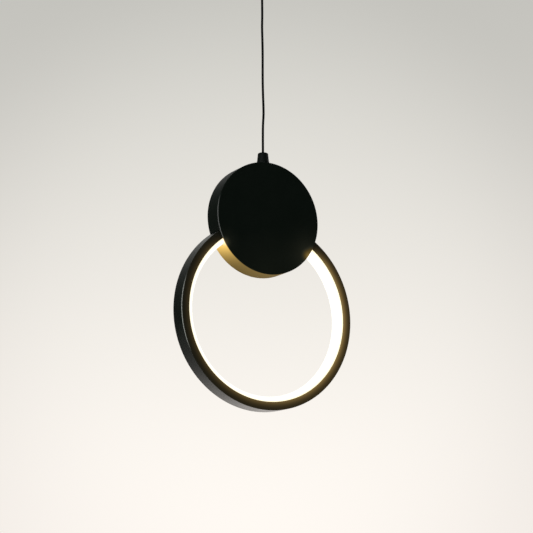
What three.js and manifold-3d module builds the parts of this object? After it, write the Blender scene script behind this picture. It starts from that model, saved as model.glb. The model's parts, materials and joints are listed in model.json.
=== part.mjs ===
// Pendant light: a round flat housing hung on a thin cord, with a large LED ring that passes through its
// lower half. Millimetres, +Z up, +X to the viewer's right, -Y towards the viewer. The origin is the middle
// of the mounting bar's top face, which lies against the ceiling.
import * as THREE from "three";
import { mergeVertices } from "three/addons/utils/BufferGeometryUtils.js";
import Module from "manifold-3d";

const wasm = await Module();
wasm.setup();

// Clearances
const SEAT = 0.3; // between two faces that rest on each other
const RUNNING = 0.3; // round a shank or a stem in its hole
const OVERRUN = 1; // how far a cutter passes through what it cuts
const SINK = 0.4; // how deep a joined body reaches into the one that carries it
const MERGE = 1e-4; // vertices closer than this are one

// Cord
const CORD_DIAMETER = 2.5;
const CORD_FREE_LENGTH = 190; // from the canopy grip's tip to the lamp gland's top
const CORD_BOW = 0.9; // how far the taut cord still bows to the side
const CORD_BOW_SHARES = [
  [0, 0],
  [0.08, 0],
  [0.3, -0.6],
  [0.5, -0.2],
  [0.68, 0.9],
  [0.78, 0.7],
  [0.86, 0.15],
  [0.95, 0],
  [1, 0],
]; // share of the way down, and share of the bow to the right
const SUPPLY_ROUTE_SHARES = [
  [0, 0],
  [0.06, 0.4],
  [0.35, 0.85],
  [0.8, 1],
]; // share of the way to the terminals, and share of the climb from the grip
const TAIL_ROUTE_SHARES = [
  [0, 0.3],
  [0.16, 0.62],
  [0.45, 0.72],
  [0.75, 0.74],
  [0.94, 0.8],
  [1, 0.93],
  [1, 1],
]; // share of the way aside to the driver's entry, and share of the drop from the gland's stem
const LEAD_ROUTE = [
  [12, 0],
  [12, 0.85],
  [12.6, 1.45],
  [14.5, 1.7],
  [18, 1.65],
  [22, 1.5],
  [24.2, 1.1],
  [25.2, 1],
]; // degrees round the ring, and share of the way from its outside to the strip
const LEAD_DIAMETER = 1.2;
const LEAD_SPREAD = 1.7; // between the two LED leads

// Ceiling canopy
const CANOPY_DIAMETER = 100;
const CANOPY_HEIGHT = 25;
const CANOPY_WALL = 1.2;
const CANOPY_EDGE_RADIUS = 4;
const CANOPY_RIM_GAP = 0.5; // shadow gap between rim and ceiling
const CANOPY_SCREW_DROP = 8; // below the ceiling

// Mounting bar
const BAR_WIDTH = 16;
const BAR_THICKNESS = 1.5;
const BAR_BEND_RADIUS = 2.5; // outside of the bend
const BAR_TAB_HEIGHT = 13;
const BAR_SLOT_LENGTH = 16;
const BAR_SLOT_WIDTH = 5;
const BAR_SLOT_SPACING = 62;
const BAR_EAR_WIDTH = 26;
const BAR_EAR_REACH = 14;
const EARTH_SCREW_OFFSET = 14;

// Terminal block
const BLOCK_WIDTH = 22;
const BLOCK_DEPTH = 12;
const BLOCK_HEIGHT = 11;
const BLOCK_WAYS = 3;
const BLOCK_PITCH = 6.6;
const BLOCK_ENTRY_RADIUS = 1.7;
const BLOCK_WELL_RADIUS = 2.1;
const BLOCK_WELL_DEPTH = 5;
const BLOCK_ENTRY_DEPTH = 4;
const BLOCK_ENTRY_SHARE = 0.4; // of the block's height, below its top

// Canopy cord grip, with the stop ball that carries the load
const GRIP_HEIGHT = 12;
const GRIP_BASE_RADIUS = 8;
const GRIP_TIP_RADIUS = 6.7;
const GRIP_COLLAR_HEIGHT = 1.8;
const GRIP_EDGE = 0.6;
const GRIP_TAIL_RADIUS = 6;
const GRIP_TAIL_LENGTH = 9.5;
const GRIP_NUT_FLATS = 17;
const GRIP_NUT_HEIGHT = 3;
const GRIP_WASHER_RADIUS = 9.5;
const GRIP_WASHER_THICKNESS = 0.8;
const BALL_RADIUS = 4;
const BALL_ABOVE_TIP = 5; // the ball's centre, where the cord swings
const THROAT_RADIUS = 3.5; // holds the ball up
const MOUTH_RADIUS = 5.6; // bell mouth round the leaning cord

// Lamp gland
const GLAND_HEIGHT = 14;
const GLAND_BASE_RADIUS = 6.25;
const GLAND_TOP_RADIUS = 5.2;
const GLAND_COLLAR_HEIGHT = 1.6;
const GLAND_COLLAR_STEP = 0.25;
const GLAND_EDGE_RADIUS = 1.1;
const GLAND_TAIL_RADIUS = 4.8;
const GLAND_TAIL_LENGTH = 9;
const GLAND_BORE_RADIUS = 1.6;
const GLAND_NUT_FLATS = 13;
const GLAND_NUT_HEIGHT = 3;
const GRUB_RADIUS = 1.4;
const GRUB_LENGTH = 3.4;
const GRUB_RISE = 8; // above the housing
const NUT_FLAT_TURN = 30; // degrees, so that a flat faces the housing's rear cover
const CORD_IN_GLAND = 11; // how deep the cord enters the gland

// Round housing
const DISC_RADIUS = 60;
const DISC_DEPTH = 23;
const FACE_THICKNESS = 1.2;
const WALL_THICKNESS = 1.5;
const DISC_EDGE = 0.6;
const COVER_THICKNESS = 2;
const LIP_THICKNESS = 1;
const LIP_HEIGHT = 2.5;
const PILLAR_RADIUS = 3.5;
const PILLAR_FROM_EDGE = 11; // the pillars' middles, inside the housing's outline
const PILLAR_ANGLES = { top_left: 125, top_right: 55, bottom: 270 }; // degrees, anticlockwise from +X

// Ring profile, rolled to a circle and open towards its middle
const RING_RADIUS = 99.8;
const RING_FACE = 8.8; // radial width of the flanges
const RING_DEPTH = 19;
const RING_DROP = 101; // from the housing's middle down to the ring's middle
const RING_FLANGE = 1.2;
const RING_WALL = 1.5;
const RING_EDGE = 0.4;
const RIB_SIZE = 0.8; // carries the diffuser's legs
const RIB_FROM_WALL = 1.6;
const RING_JOINT_GAP = 0.4;
const PASSAGE_GROOVE = 0.15; // how deep the ring's passage cuts the inside of the housing's face

// Diffuser and LED strip
const DIFFUSER_PROUD = 6;
const DIFFUSER_WALL = 1.5;
const DIFFUSER_SQUARENESS = 2.5; // 2 would be an ellipse
const DIFFUSER_END_ANGLE = 25.5; // degrees from the ring's top
const STRIP_WIDTH = 10;
const STRIP_THICKNESS = 0.5;
const STRIP_END_ANGLE = 23.5;
const CHIP_LENGTH = 3.5;
const CHIP_WIDTH = 2.8;
const CHIP_HEIGHT = 0.8;
const CHIP_PITCH = 25;

// Joint plate over the ring's butt joint
const SPLICE_THICKNESS = 1.8;
const SPLICE_WIDTH = 12;
const SPLICE_HALF_ANGLE = 6;
const SPLICE_SCREW_ANGLE = 3.8;

// Angle brackets that carry the ring inside the housing
const BRACKET_ANGLE = 20;
const BRACKET_THICKNESS = 1.5;
const BRACKET_LENGTH = 15;
const BRACKET_FOOT = 11.5; // along the ring's depth
const BRACKET_RISE = 12.5; // away from the ring
const BRACKET_BEND_RADIUS = 2.2;
const BRACKET_BOSS_HEIGHT = 4.5;
const BRACKET_HOLE_RISE = 8;

// Rubber grommet where the leads enter the ring
const GROMMET_ANGLE = 12;
const GROMMET_RADIUS = 4.3;
const GROMMET_WAIST_RADIUS = 3;
const GROMMET_BORE_RADIUS = 1.9;
const GROMMET_FLANGE = 0.9;

// LED driver
const DRIVER_ABOVE_RING = 7; // its lower edge, above the ring's top
const DRIVER_BELOW_GLAND = 17.8; // its upper edge, below the gland's stem: room for the cord's bend
const DRIVER_WIDTH = 56;
const DRIVER_DEPTH = 14;
const DRIVER_LID_THICKNESS = 1.4;
const DRIVER_CORNER_RADIUS = 2;
const DRIVER_EAR_WIDTH = 9;
const DRIVER_EAR_HEIGHT = 8;
const DRIVER_EAR_THICKNESS = 2;
const DRIVER_STAND_OFF = 2;
const DRIVER_ENTRY_OFFSET = 20; // the cord's entry, to the left of the middle

// Screws: head radius, head height, shank radius, shank length
const M4_SCREW = { head: 3.8, height: 2.4, shank: 2, length: 7.5 };
const M4_EARTH = { head: 3.8, height: 2.4, shank: 2, length: BAR_THICKNESS };
const M3_PAN = { head: 2.7, height: 1.7, shank: 1.5, length: 4 };
const M3_SUNK = { head: 2.9, height: 1.5, shank: 1.5, length: 8 };
const M3_RING = { head: 2.7, height: 1.4, shank: 1.5, length: 5.5 };
const M2_SPLICE = { head: 2.1, height: 1.3, shank: 1.1, length: 3.8 };
const RECESS_WIDTH_SHARE = 0.24; // of the head's radius
const RECESS_REACH_SHARE = 0.62;
const RECESS_DEPTH_SHARE = 0.55; // of the head's height
const HEAD_CROWN_SHARE = 0.55;

// Facets
const DISC_SEGMENTS = 64;
const RING_SEGMENTS = 60;
const CANOPY_SEGMENTS = 40;
const SMALL_SEGMENTS = 16;
const POST_SEGMENTS = 10;
const SCREW_SEGMENTS = 8;
const HEX_SIDES = 6; // nuts and sockets
const CORD_SIDES = 8;
const CORD_STEP_DIAMETERS = 3;
const ROUTE_STEP_DIAMETERS = 1.8; // where a cord bends
const ARC_STEPS = 3;
const CORNER_STEPS = 2;
const DOME_STEPS = 6;
const BALL_STEPS = 8; // from pole to pole

// Levels, worked out from the sizes above
const canopyRadius = CANOPY_DIAMETER / 2;
const canopyInner = canopyRadius - CANOPY_WALL;
const canopyBottom = -CANOPY_HEIGHT;
const entryZ = -BAR_THICKNESS - SEAT - BLOCK_HEIGHT * BLOCK_ENTRY_SHARE;
const gripTop = canopyBottom - SEAT;
const gripTip = gripTop - GRIP_HEIGHT;
const pivotZ = gripTip + BALL_ABOVE_TIP;
const glandTop = gripTip - CORD_FREE_LENGTH;
const discTop = glandTop - GLAND_HEIGHT - SEAT;
const discZ = discTop - DISC_RADIUS;
const discFront = -DISC_DEPTH / 2;
const discBack = DISC_DEPTH / 2;
const shellInner = DISC_RADIUS - WALL_THICKNESS;
const faceInside = discFront + FACE_THICKNESS;
const coverInside = discBack - COVER_THICKNESS;
const shellRim = coverInside - SEAT;
const ringY = faceInside + SEAT + RING_DEPTH / 2;
const ringInner = RING_RADIUS - RING_FACE;
const wallInside = RING_RADIUS - RING_WALL;
const channelHalf = RING_DEPTH / 2 - RING_FLANGE;
const diffuserHalf = channelHalf - SEAT;
const crown = ringInner - DIFFUSER_PROUD;
const stripOuter = wallInside - SEAT;
const stripInner = stripOuter - STRIP_THICKNESS;
const cordRadius = CORD_DIAMETER / 2;
const leadRadius = LEAD_DIAMETER / 2;

const BLACK_METAL = { color: 0x0d0f0d, roughness: 0.42, metalness: 0.25 };
const BLACK_PLASTIC = { color: 0x101210, roughness: 0.5, metalness: 0 };
const BLACK_RUBBER = { color: 0x121211, roughness: 0.75, metalness: 0 };
const ZINC = { color: 0xa9abad, roughness: 0.38, metalness: 0.9 };
const BRASS = { color: 0xb59a5a, roughness: 0.35, metalness: 0.9 };
const WHITE_PLASTIC = { color: 0xdcdcd6, roughness: 0.55, metalness: 0 };
const MILK = { color: 0xfffdf2, roughness: 0.4, metalness: 0, emissive: 0xffe9c0 };
const STRIP_BOARD = { color: 0xece8dc, roughness: 0.5, metalness: 0 };
const RED_WIRE = { color: 0x7d1f1c, roughness: 0.5, metalness: 0 };
const BLACK_WIRE = { color: 0x161616, roughness: 0.5, metalness: 0 };

const radians = (degrees) => (degrees * Math.PI) / 180;

// A closed geometry as a solid that can be joined and cut.
function solid(geometry) {
  const bare = geometry.clone();
  bare.deleteAttribute("normal");
  bare.deleteAttribute("uv");
  const merged = mergeVertices(bare, MERGE);
  return new wasm.Manifold(
    new wasm.Mesh({
      numProp: 3,
      vertProperties: merged.attributes.position.array,
      triVerts: new Uint32Array(merged.index.array),
    }),
  );
}

function geometryOf(body) {
  const mesh = body.getMesh();
  const geometry = new THREE.BufferGeometry();
  geometry.setAttribute("position", new THREE.BufferAttribute(new Float32Array(mesh.vertProperties), 3));
  geometry.setIndex(new THREE.BufferAttribute(new Uint32Array(mesh.triVerts), 1));
  geometry.computeVertexNormals();
  return geometry;
}

const join = (first, ...others) => others.reduce((sum, other) => sum.add(other), first);
const cut = (first, ...others) => others.reduce((rest, other) => rest.subtract(other), first);

// Turned about Y. The profile's points are [radius, y], anticlockwise with the radius to the right.
function turnedY(profile, segments) {
  const points = profile.map(([radius, y]) => new THREE.Vector2(radius, y));
  if (profile[0][0] !== 0) points.push(points[0].clone());
  return new THREE.LatheGeometry(points, segments);
}

// Turned about Z. The profile's points are [radius, z].
const turnedZ = (profile, segments) => turnedY(profile, segments).rotateX(Math.PI / 2);

// Points of an arc, [across, along], from one angle to another in degrees.
function arc(across, along, radius, from, to, steps = ARC_STEPS) {
  return Array.from({ length: steps + 1 }, (_, i) => {
    const angle = radians(from + ((to - from) * i) / steps);
    return [across + radius * Math.cos(angle), along + radius * Math.sin(angle)];
  });
}

function rodBetween(from, to, radius, sides) {
  const start = new THREE.Vector3(...from);
  const way = new THREE.Vector3(...to).sub(start);
  const up = new THREE.Vector3(0, 1, 0);
  const turn = new THREE.Quaternion().setFromUnitVectors(up, way.clone().normalize());
  return new THREE.CylinderGeometry(radius, radius, way.length(), sides)
    .applyQuaternion(turn)
    .translate(start.x + way.x / 2, start.y + way.y / 2, start.z + way.z / 2);
}

const rod = (from, to, radius, sides = SCREW_SEGMENTS) => solid(rodBetween(from, to, radius, sides));

// A box from its lowest to its highest corner.
function block(low, high) {
  const size = high.map((value, i) => value - low[i]);
  return solid(
    new THREE.BoxGeometry(...size).translate(...low.map((value, i) => value + size[i] / 2)),
  );
}

function outline(points) {
  return new THREE.Shape(points.map(([x, y]) => new THREE.Vector2(x, y)));
}

// A plate whose outline lies in X and Z, from y = near to y = far.
function plateXZ(shape, near, far) {
  return new THREE.ExtrudeGeometry(shape, { depth: far - near, bevelEnabled: false })
    .rotateX(Math.PI / 2)
    .translate(0, far, 0);
}

// A rounded rectangle, centred on a point.
function roundedRectangle(x, y, width, height, radius) {
  const right = x + width / 2 - radius;
  const left = x - width / 2 + radius;
  const top = y + height / 2 - radius;
  const bottom = y - height / 2 + radius;
  return [
    ...arc(right, top, radius, 0, 90, CORNER_STEPS),
    ...arc(left, top, radius, 90, 180, CORNER_STEPS),
    ...arc(left, bottom, radius, 180, 270, CORNER_STEPS),
    ...arc(right, bottom, radius, 270, 360, CORNER_STEPS),
  ];
}

// A round tube along points.
function tube(points, radius, stepDiameters) {
  const places = points.map((point) => new THREE.Vector3(...point));
  const path = new THREE.CatmullRomCurve3(places, false, "centripetal");
  const sides = Array.from({ length: CORD_SIDES }, (_, i) => {
    const angle = (2 * Math.PI * i) / CORD_SIDES;
    return [radius * Math.cos(angle), radius * Math.sin(angle)];
  });
  const steps = Math.ceil(path.getLength() / (stepDiameters * 2 * radius));
  return new THREE.ExtrudeGeometry(outline(sides), { steps, extrudePath: path, bevelEnabled: false });
}

// A hexagonal nut along Z, standing on z = 0.
function nut(flats, height, boreRadius) {
  const body = solid(
    new THREE.CylinderGeometry(flats / Math.sqrt(3), flats / Math.sqrt(3), height, HEX_SIDES)
      .rotateX(Math.PI / 2)
      .translate(0, 0, height / 2),
  );
  return cut(body, rod([0, 0, -OVERRUN], [0, 0, height + OVERRUN], boreRadius, SMALL_SEGMENTS));
}

// A screw along Z: the head's underside is at z = 0 and the shank points down. A sunk head is a cone
// whose top is at z = 0.
function screw(size, sunk = false) {
  const { head, height, shank, length } = size;
  const crowned = [
    [0, -length],
    [shank, -length],
    [shank, 0],
    [head, 0],
    [head, height * HEAD_CROWN_SHARE],
    [head - height * (1 - HEAD_CROWN_SHARE), height],
    [0, height],
  ];
  const conical = [
    [0, -length],
    [shank, -length],
    [shank, -height],
    [head, 0],
    [0, 0],
  ];
  const top = sunk ? 0 : height;
  const body = solid(turnedZ(sunk ? conical : crowned, SCREW_SEGMENTS));
  const reach = head * RECESS_REACH_SHARE;
  const half = (head * RECESS_WIDTH_SHARE) / 2;
  const floor = top - height * RECESS_DEPTH_SHARE;
  const cross = join(
    block([-reach, -half, floor], [reach, half, top + OVERRUN]),
    block([-half, -reach, floor], [half, reach, top + OVERRUN]),
  );
  return geometryOf(cut(body, cross));
}

const part = new THREE.Group();

function piece(parent, name, shape, finish, place = [0, 0, 0], turn = [0, 0, 0]) {
  const geometry = shape.isBufferGeometry ? shape : geometryOf(shape);
  const mesh = new THREE.Mesh(geometry, new THREE.MeshStandardMaterial(finish));
  mesh.name = name;
  mesh.position.set(...place);
  mesh.rotation.set(...turn.map(radians));
  parent.add(mesh);
  return mesh;
}

// Mounting bar: a strip bent down at both ends, with two slots for the ceiling screws and an ear for the
// terminals
const tabOuter = Math.sqrt(canopyInner ** 2 - (BAR_WIDTH / 2) ** 2) - SEAT;
const earNear = BAR_WIDTH / 2 - OVERRUN;
const earFar = BAR_WIDTH / 2 + BAR_EAR_REACH;

function mountingBar() {
  const bend = BAR_BEND_RADIUS;
  const inside = bend - BAR_THICKNESS;
  const right = tabOuter - bend;
  const profile = outline([
    ...arc(right, -bend, bend, 0, 90),
    ...arc(-right, -bend, bend, 90, 180),
    [-tabOuter, -BAR_TAB_HEIGHT],
    [-tabOuter + BAR_THICKNESS, -BAR_TAB_HEIGHT],
    ...arc(-right, -bend, inside, 180, 90),
    ...arc(right, -bend, inside, 90, 0),
    [tabOuter - BAR_THICKNESS, -BAR_TAB_HEIGHT],
    [tabOuter, -BAR_TAB_HEIGHT],
  ]);
  const strip = solid(plateXZ(profile, -BAR_WIDTH / 2, BAR_WIDTH / 2));
  const ear = block([-BAR_EAR_WIDTH / 2, earNear, -BAR_THICKNESS], [BAR_EAR_WIDTH / 2, earFar, 0]);
  const slots = [-1, 1].map((side) =>
    solid(
      new THREE.ExtrudeGeometry(
        outline(
          roundedRectangle(
            (side * BAR_SLOT_SPACING) / 2,
            0,
            BAR_SLOT_LENGTH,
            BAR_SLOT_WIDTH,
            BAR_SLOT_WIDTH / 2,
          ),
        ),
        { depth: BAR_THICKNESS + 2 * OVERRUN, bevelEnabled: false },
      ).translate(0, 0, -BAR_THICKNESS - OVERRUN),
    ),
  );
  const tabHole = rod(
    [-canopyRadius, 0, -CANOPY_SCREW_DROP],
    [canopyRadius, 0, -CANOPY_SCREW_DROP],
    M4_SCREW.shank + RUNNING,
    SMALL_SEGMENTS,
  );
  const earthHole = rod(
    [-EARTH_SCREW_OFFSET, 0, -BAR_THICKNESS - OVERRUN],
    [-EARTH_SCREW_OFFSET, 0, OVERRUN],
    M4_EARTH.shank + RUNNING,
    SMALL_SEGMENTS,
  );
  return cut(join(strip, ear), ...slots, tabHole, earthHole);
}

function canopyCover() {
  const edge = CANOPY_EDGE_RADIUS;
  const inside = edge - CANOPY_WALL;
  const hole = GRIP_TAIL_RADIUS + RUNNING;
  const cup = turnedZ(
    [
      [hole, canopyBottom],
      ...arc(canopyRadius - edge, canopyBottom + edge, edge, -90, 0),
      [canopyRadius, -CANOPY_RIM_GAP],
      [canopyInner, -CANOPY_RIM_GAP],
      ...arc(canopyRadius - edge, canopyBottom + edge, inside, 0, -90),
      [hole, canopyBottom + CANOPY_WALL],
    ],
    CANOPY_SEGMENTS,
  );
  const screwHoles = rod(
    [-canopyRadius - OVERRUN, 0, -CANOPY_SCREW_DROP],
    [canopyRadius + OVERRUN, 0, -CANOPY_SCREW_DROP],
    M4_SCREW.shank + RUNNING,
    SMALL_SEGMENTS,
  );
  return cut(solid(cup), screwHoles);
}

// Three-way block with a wire entry on each long side and a screw well below for each way
function terminalBlock() {
  const near = BAR_WIDTH / 2 + SEAT;
  const far = near + BLOCK_DEPTH;
  const top = -BAR_THICKNESS - SEAT;
  const bottom = top - BLOCK_HEIGHT;
  const ways = Array.from({ length: BLOCK_WAYS }, (_, i) => (i - (BLOCK_WAYS - 1) / 2) * BLOCK_PITCH);
  const cuts = ways.flatMap((x) => [
    rod([x, near - OVERRUN, entryZ], [x, near + BLOCK_ENTRY_DEPTH, entryZ], BLOCK_ENTRY_RADIUS),
    rod([x, far - BLOCK_ENTRY_DEPTH, entryZ], [x, far + OVERRUN, entryZ], BLOCK_ENTRY_RADIUS),
    rod(
      [x, (near + far) / 2, bottom - OVERRUN],
      [x, (near + far) / 2, bottom + BLOCK_WELL_DEPTH],
      BLOCK_WELL_RADIUS,
    ),
  ]);
  return cut(block([-BLOCK_WIDTH / 2, near, bottom], [BLOCK_WIDTH / 2, far, top]), ...cuts);
}

// Cord grip: a stem through the canopy, a seat for the stop ball and a bell mouth below it
function canopyGrip() {
  const seat = BALL_RADIUS + SEAT;
  const throatAngle = (Math.acos(THROAT_RADIUS / seat) * 180) / Math.PI;
  const profile = [
    [MOUTH_RADIUS, gripTip],
    [GRIP_TIP_RADIUS - GRIP_EDGE, gripTip],
    [GRIP_TIP_RADIUS, gripTip + GRIP_EDGE],
    [GRIP_BASE_RADIUS - GRIP_EDGE, gripTop - GRIP_COLLAR_HEIGHT],
    [GRIP_BASE_RADIUS, gripTop - GRIP_COLLAR_HEIGHT + GRIP_EDGE],
    [GRIP_BASE_RADIUS, gripTop],
    [GRIP_TAIL_RADIUS, gripTop],
    [GRIP_TAIL_RADIUS, gripTop + GRIP_TAIL_LENGTH],
    [seat, gripTop + GRIP_TAIL_LENGTH],
    ...arc(0, pivotZ, seat, 0, -throatAngle),
  ];
  return turnedZ(profile, SMALL_SEGMENTS);
}

function washer(outer, inner, thickness) {
  return turnedZ(
    [
      [inner, 0],
      [outer, 0],
      [outer, thickness],
      [inner, thickness],
    ],
    SMALL_SEGMENTS,
  );
}

const canopy = new THREE.Group();
part.add(canopy);
piece(canopy, "mounting_bar", mountingBar(), ZINC);
piece(canopy, "canopy_cover", canopyCover(), BLACK_METAL);
for (const [side, name] of [[-1, "left"], [1, "right"]])
  piece(
    canopy,
    `canopy_screw_${name}`,
    screw(M4_SCREW),
    BLACK_METAL,
    [side * (canopyRadius + SEAT), 0, -CANOPY_SCREW_DROP],
    [0, side * 90, 0],
  );
piece(canopy, "terminal_block", terminalBlock(), WHITE_PLASTIC);
piece(
  canopy,
  "earth_screw",
  screw(M4_EARTH),
  BRASS,
  [-EARTH_SCREW_OFFSET, 0, -BAR_THICKNESS - SEAT],
  [180, 0, 0],
);
piece(canopy, "canopy_grip", canopyGrip(), BLACK_PLASTIC);
const washerZ = canopyBottom + CANOPY_WALL + SEAT;
piece(
  canopy,
  "canopy_grip_washer",
  washer(GRIP_WASHER_RADIUS, GRIP_TAIL_RADIUS + RUNNING, GRIP_WASHER_THICKNESS),
  ZINC,
  [0, 0, washerZ],
);
piece(
  canopy,
  "canopy_grip_nut",
  nut(GRIP_NUT_FLATS, GRIP_NUT_HEIGHT, GRIP_TAIL_RADIUS + RUNNING),
  ZINC,
  [0, 0, washerZ + GRIP_WASHER_THICKNESS + SEAT],
);
const leadStart = pivotZ + BALL_RADIUS + SEAT;
const leadFrom = gripTop + GRIP_TAIL_LENGTH;
piece(
  canopy,
  "supply_lead",
  tube(
    [
      [0, 0, leadStart],
      ...SUPPLY_ROUTE_SHARES.map(([across, up]) => [
        0,
        across * (BAR_WIDTH / 2 + SEAT),
        leadFrom + (entryZ - leadFrom) * up,
      ]),
      [0, BAR_WIDTH / 2 + SEAT + BLOCK_ENTRY_DEPTH - SINK, entryZ],
    ],
    cordRadius,
    ROUTE_STEP_DIAMETERS,
  ),
  BLACK_RUBBER,
);

const ball = new THREE.SphereGeometry(BALL_RADIUS, 2 * BALL_STEPS, BALL_STEPS).rotateX(Math.PI / 2);
piece(part, "cord_stop_ball", ball, ZINC, [0, 0, pivotZ]);

// The cord, from under the ball to inside the lamp gland
const cordTop = pivotZ - BALL_RADIUS - SEAT;
const cordBottom = glandTop - CORD_IN_GLAND;
piece(
  part,
  "cord",
  tube(
    CORD_BOW_SHARES.map(([way, bow]) => [bow * CORD_BOW, 0, cordTop + (cordBottom - cordTop) * way]),
    cordRadius,
    CORD_STEP_DIAMETERS,
  ),
  BLACK_RUBBER,
);

// The lamp hangs from the gland; its own origin is the middle of the housing
const lamp = new THREE.Group();
lamp.position.set(0, 0, discZ);
part.add(lamp);

// Tapered cord gland with a rounded top, a low collar and a threaded stem
function lampGland() {
  const base = DISC_RADIUS + SEAT;
  const top = base + GLAND_HEIGHT;
  const collar = base + GLAND_COLLAR_HEIGHT;
  const edge = GLAND_EDGE_RADIUS;
  const body = turnedZ(
    [
      [GLAND_BORE_RADIUS, base - GLAND_TAIL_LENGTH],
      [GLAND_TAIL_RADIUS, base - GLAND_TAIL_LENGTH],
      [GLAND_TAIL_RADIUS, base],
      [GLAND_BASE_RADIUS, base],
      [GLAND_BASE_RADIUS, collar],
      [GLAND_BASE_RADIUS - GLAND_COLLAR_STEP, collar + GLAND_COLLAR_STEP],
      ...arc(GLAND_TOP_RADIUS - edge, top - edge, edge, 0, 90),
      [GLAND_BORE_RADIUS + GLAND_COLLAR_STEP, top],
      [GLAND_BORE_RADIUS, top - GLAND_COLLAR_STEP],
    ],
    SMALL_SEGMENTS,
  );
  const grubZ = DISC_RADIUS + GRUB_RISE;
  const grubHole = rod([0, 0, grubZ], [0, GLAND_BASE_RADIUS + OVERRUN, grubZ], GRUB_RADIUS + RUNNING);
  return cut(solid(body), grubHole);
}

// Set screw with a hexagon socket, in the gland's rear
function glandSetScrew() {
  const outer = GLAND_BORE_RADIUS + GRUB_LENGTH;
  const body = rod([0, GLAND_BORE_RADIUS, 0], [0, outer, 0], GRUB_RADIUS);
  const socket = rod([0, outer - GRUB_LENGTH / 2, 0], [0, outer + OVERRUN, 0], GRUB_RADIUS / 2, HEX_SIDES);
  return cut(body, socket);
}

// What the ring, its diffuser and their clearance take out of the housing: open to the rear, so that the
// ring drops in before the cover goes on. The profile's points are [radius, y] round the ring's middle.
function ringPassage() {
  const near = -RING_DEPTH / 2 - SEAT - PASSAGE_GROOVE;
  const far = discBack - ringY;
  const outer = RING_RADIUS + SEAT;
  const lip = ringInner - SEAT;
  const dome = domeCurve(diffuserHalf + SEAT, DIFFUSER_PROUD + SEAT, 1);
  const frontOfDome = dome.filter(([radius, y]) => radius < lip && y < -SEAT);
  return solid(
    turnedY(
      [
        [lip, near],
        [outer, near],
        [outer, far],
        [crown - SEAT, far],
        [crown - SEAT, 0],
        ...frontOfDome,
      ],
      RING_SEGMENTS,
    ),
  ).translate([0, ringY, -RING_DROP]);
}

// Half of a squared ellipse standing inwards from the flanges' edge, from the rear side (1) or the front
// side (-1)
function domeCurve(half, height, start) {
  const power = 2 / DIFFUSER_SQUARENESS;
  return Array.from({ length: DOME_STEPS + 1 }, (_, i) => {
    const angle = (Math.PI * i) / DOME_STEPS;
    const across = Math.sign(Math.cos(angle)) * Math.abs(Math.cos(angle)) ** power;
    return [ringInner - height * Math.sin(angle) ** power, start * half * across];
  });
}

const pillarPlace = (angle) => [
  (DISC_RADIUS - PILLAR_FROM_EDGE) * Math.cos(radians(angle)),
  (DISC_RADIUS - PILLAR_FROM_EDGE) * Math.sin(radians(angle)),
];

// Where a point on the ring lies from the ring's middle: angle from its top, clockwise for the viewer
const ringPlace = (angle, radius) => [radius * Math.sin(radians(angle)), radius * Math.cos(radians(angle))];

// The post that a ring bracket is screwed to, from the housing's middle
function bracketPost(side) {
  const [x, z] = ringPlace(side * BRACKET_ANGLE, RING_RADIUS + BRACKET_HOLE_RISE);
  return [x, z - RING_DROP];
}

const glandStemEnd = DISC_RADIUS + SEAT - GLAND_TAIL_LENGTH;
const driverTop = glandStemEnd - DRIVER_BELOW_GLAND;
const driverBottom = RING_RADIUS - RING_DROP + DRIVER_ABOVE_RING;
const earOffset = DRIVER_WIDTH / 2 + DRIVER_EAR_WIDTH / 2;
const earZ = driverTop - DRIVER_EAR_HEIGHT / 2;

// Front shell: face and side wall in one, with the posts for the cover, the driver and the ring's brackets
function frontHousing() {
  const shell = turnedY(
    [
      [0, discFront],
      [DISC_RADIUS - DISC_EDGE, discFront],
      [DISC_RADIUS, discFront + DISC_EDGE],
      [DISC_RADIUS, shellRim],
      [shellInner, shellRim],
      [shellInner, faceInside],
      [0, faceInside],
    ],
    DISC_SEGMENTS,
  );
  const post = ([x, z], height) =>
    cut(
      rod([x, faceInside - SINK, z], [x, faceInside + height, z], PILLAR_RADIUS, POST_SEGMENTS),
      rod([x, faceInside + SEAT, z], [x, faceInside + height + OVERRUN, z], M3_PAN.shank + RUNNING),
    );
  const posts = [
    ...Object.values(PILLAR_ANGLES).map((angle) => post(pillarPlace(angle), shellRim - faceInside)),
    ...[-1, 1].map((side) => post([side * earOffset, earZ], DRIVER_STAND_OFF)),
    ...[-1, 1].map((side) => post(bracketPost(side), BRACKET_BOSS_HEIGHT)),
  ];
  const glandHole = rod(
    [0, 0, shellInner - OVERRUN],
    [0, 0, DISC_RADIUS + OVERRUN],
    GLAND_TAIL_RADIUS + RUNNING,
    SMALL_SEGMENTS,
  );
  return join(cut(solid(shell), ringPassage(), glandHole), ...posts);
}

// Rear cover: a flat plate with a locating lip, open where the ring passes
function rearCover() {
  const lipOuter = shellInner - SEAT;
  const plate = turnedY(
    [
      [0, coverInside],
      [DISC_RADIUS, coverInside],
      [DISC_RADIUS, discBack - DISC_EDGE],
      [DISC_RADIUS - DISC_EDGE, discBack],
      [0, discBack],
    ],
    DISC_SEGMENTS,
  );
  const lip = turnedY(
    [
      [lipOuter - LIP_THICKNESS, coverInside - LIP_HEIGHT],
      [lipOuter, coverInside - LIP_HEIGHT],
      [lipOuter, coverInside + SINK],
      [lipOuter - LIP_THICKNESS, coverInside + SINK],
    ],
    DISC_SEGMENTS,
  );
  const holes = Object.values(PILLAR_ANGLES).map((angle) => {
    const [x, z] = pillarPlace(angle);
    const { head, height, shank } = M3_SUNK;
    const cone = solid(
      turnedY(
        [
          [0, coverInside - OVERRUN],
          [shank + RUNNING, coverInside - OVERRUN],
          [shank + RUNNING, discBack - height - RUNNING],
          [head + RUNNING, discBack - RUNNING],
          [head + RUNNING, discBack + OVERRUN],
          [0, discBack + OVERRUN],
        ],
        SCREW_SEGMENTS,
      ),
    );
    return cone.translate([x, 0, z]);
  });
  return join(cut(solid(plate), ...holes), cut(solid(lip), ringPassage()));
}

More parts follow.
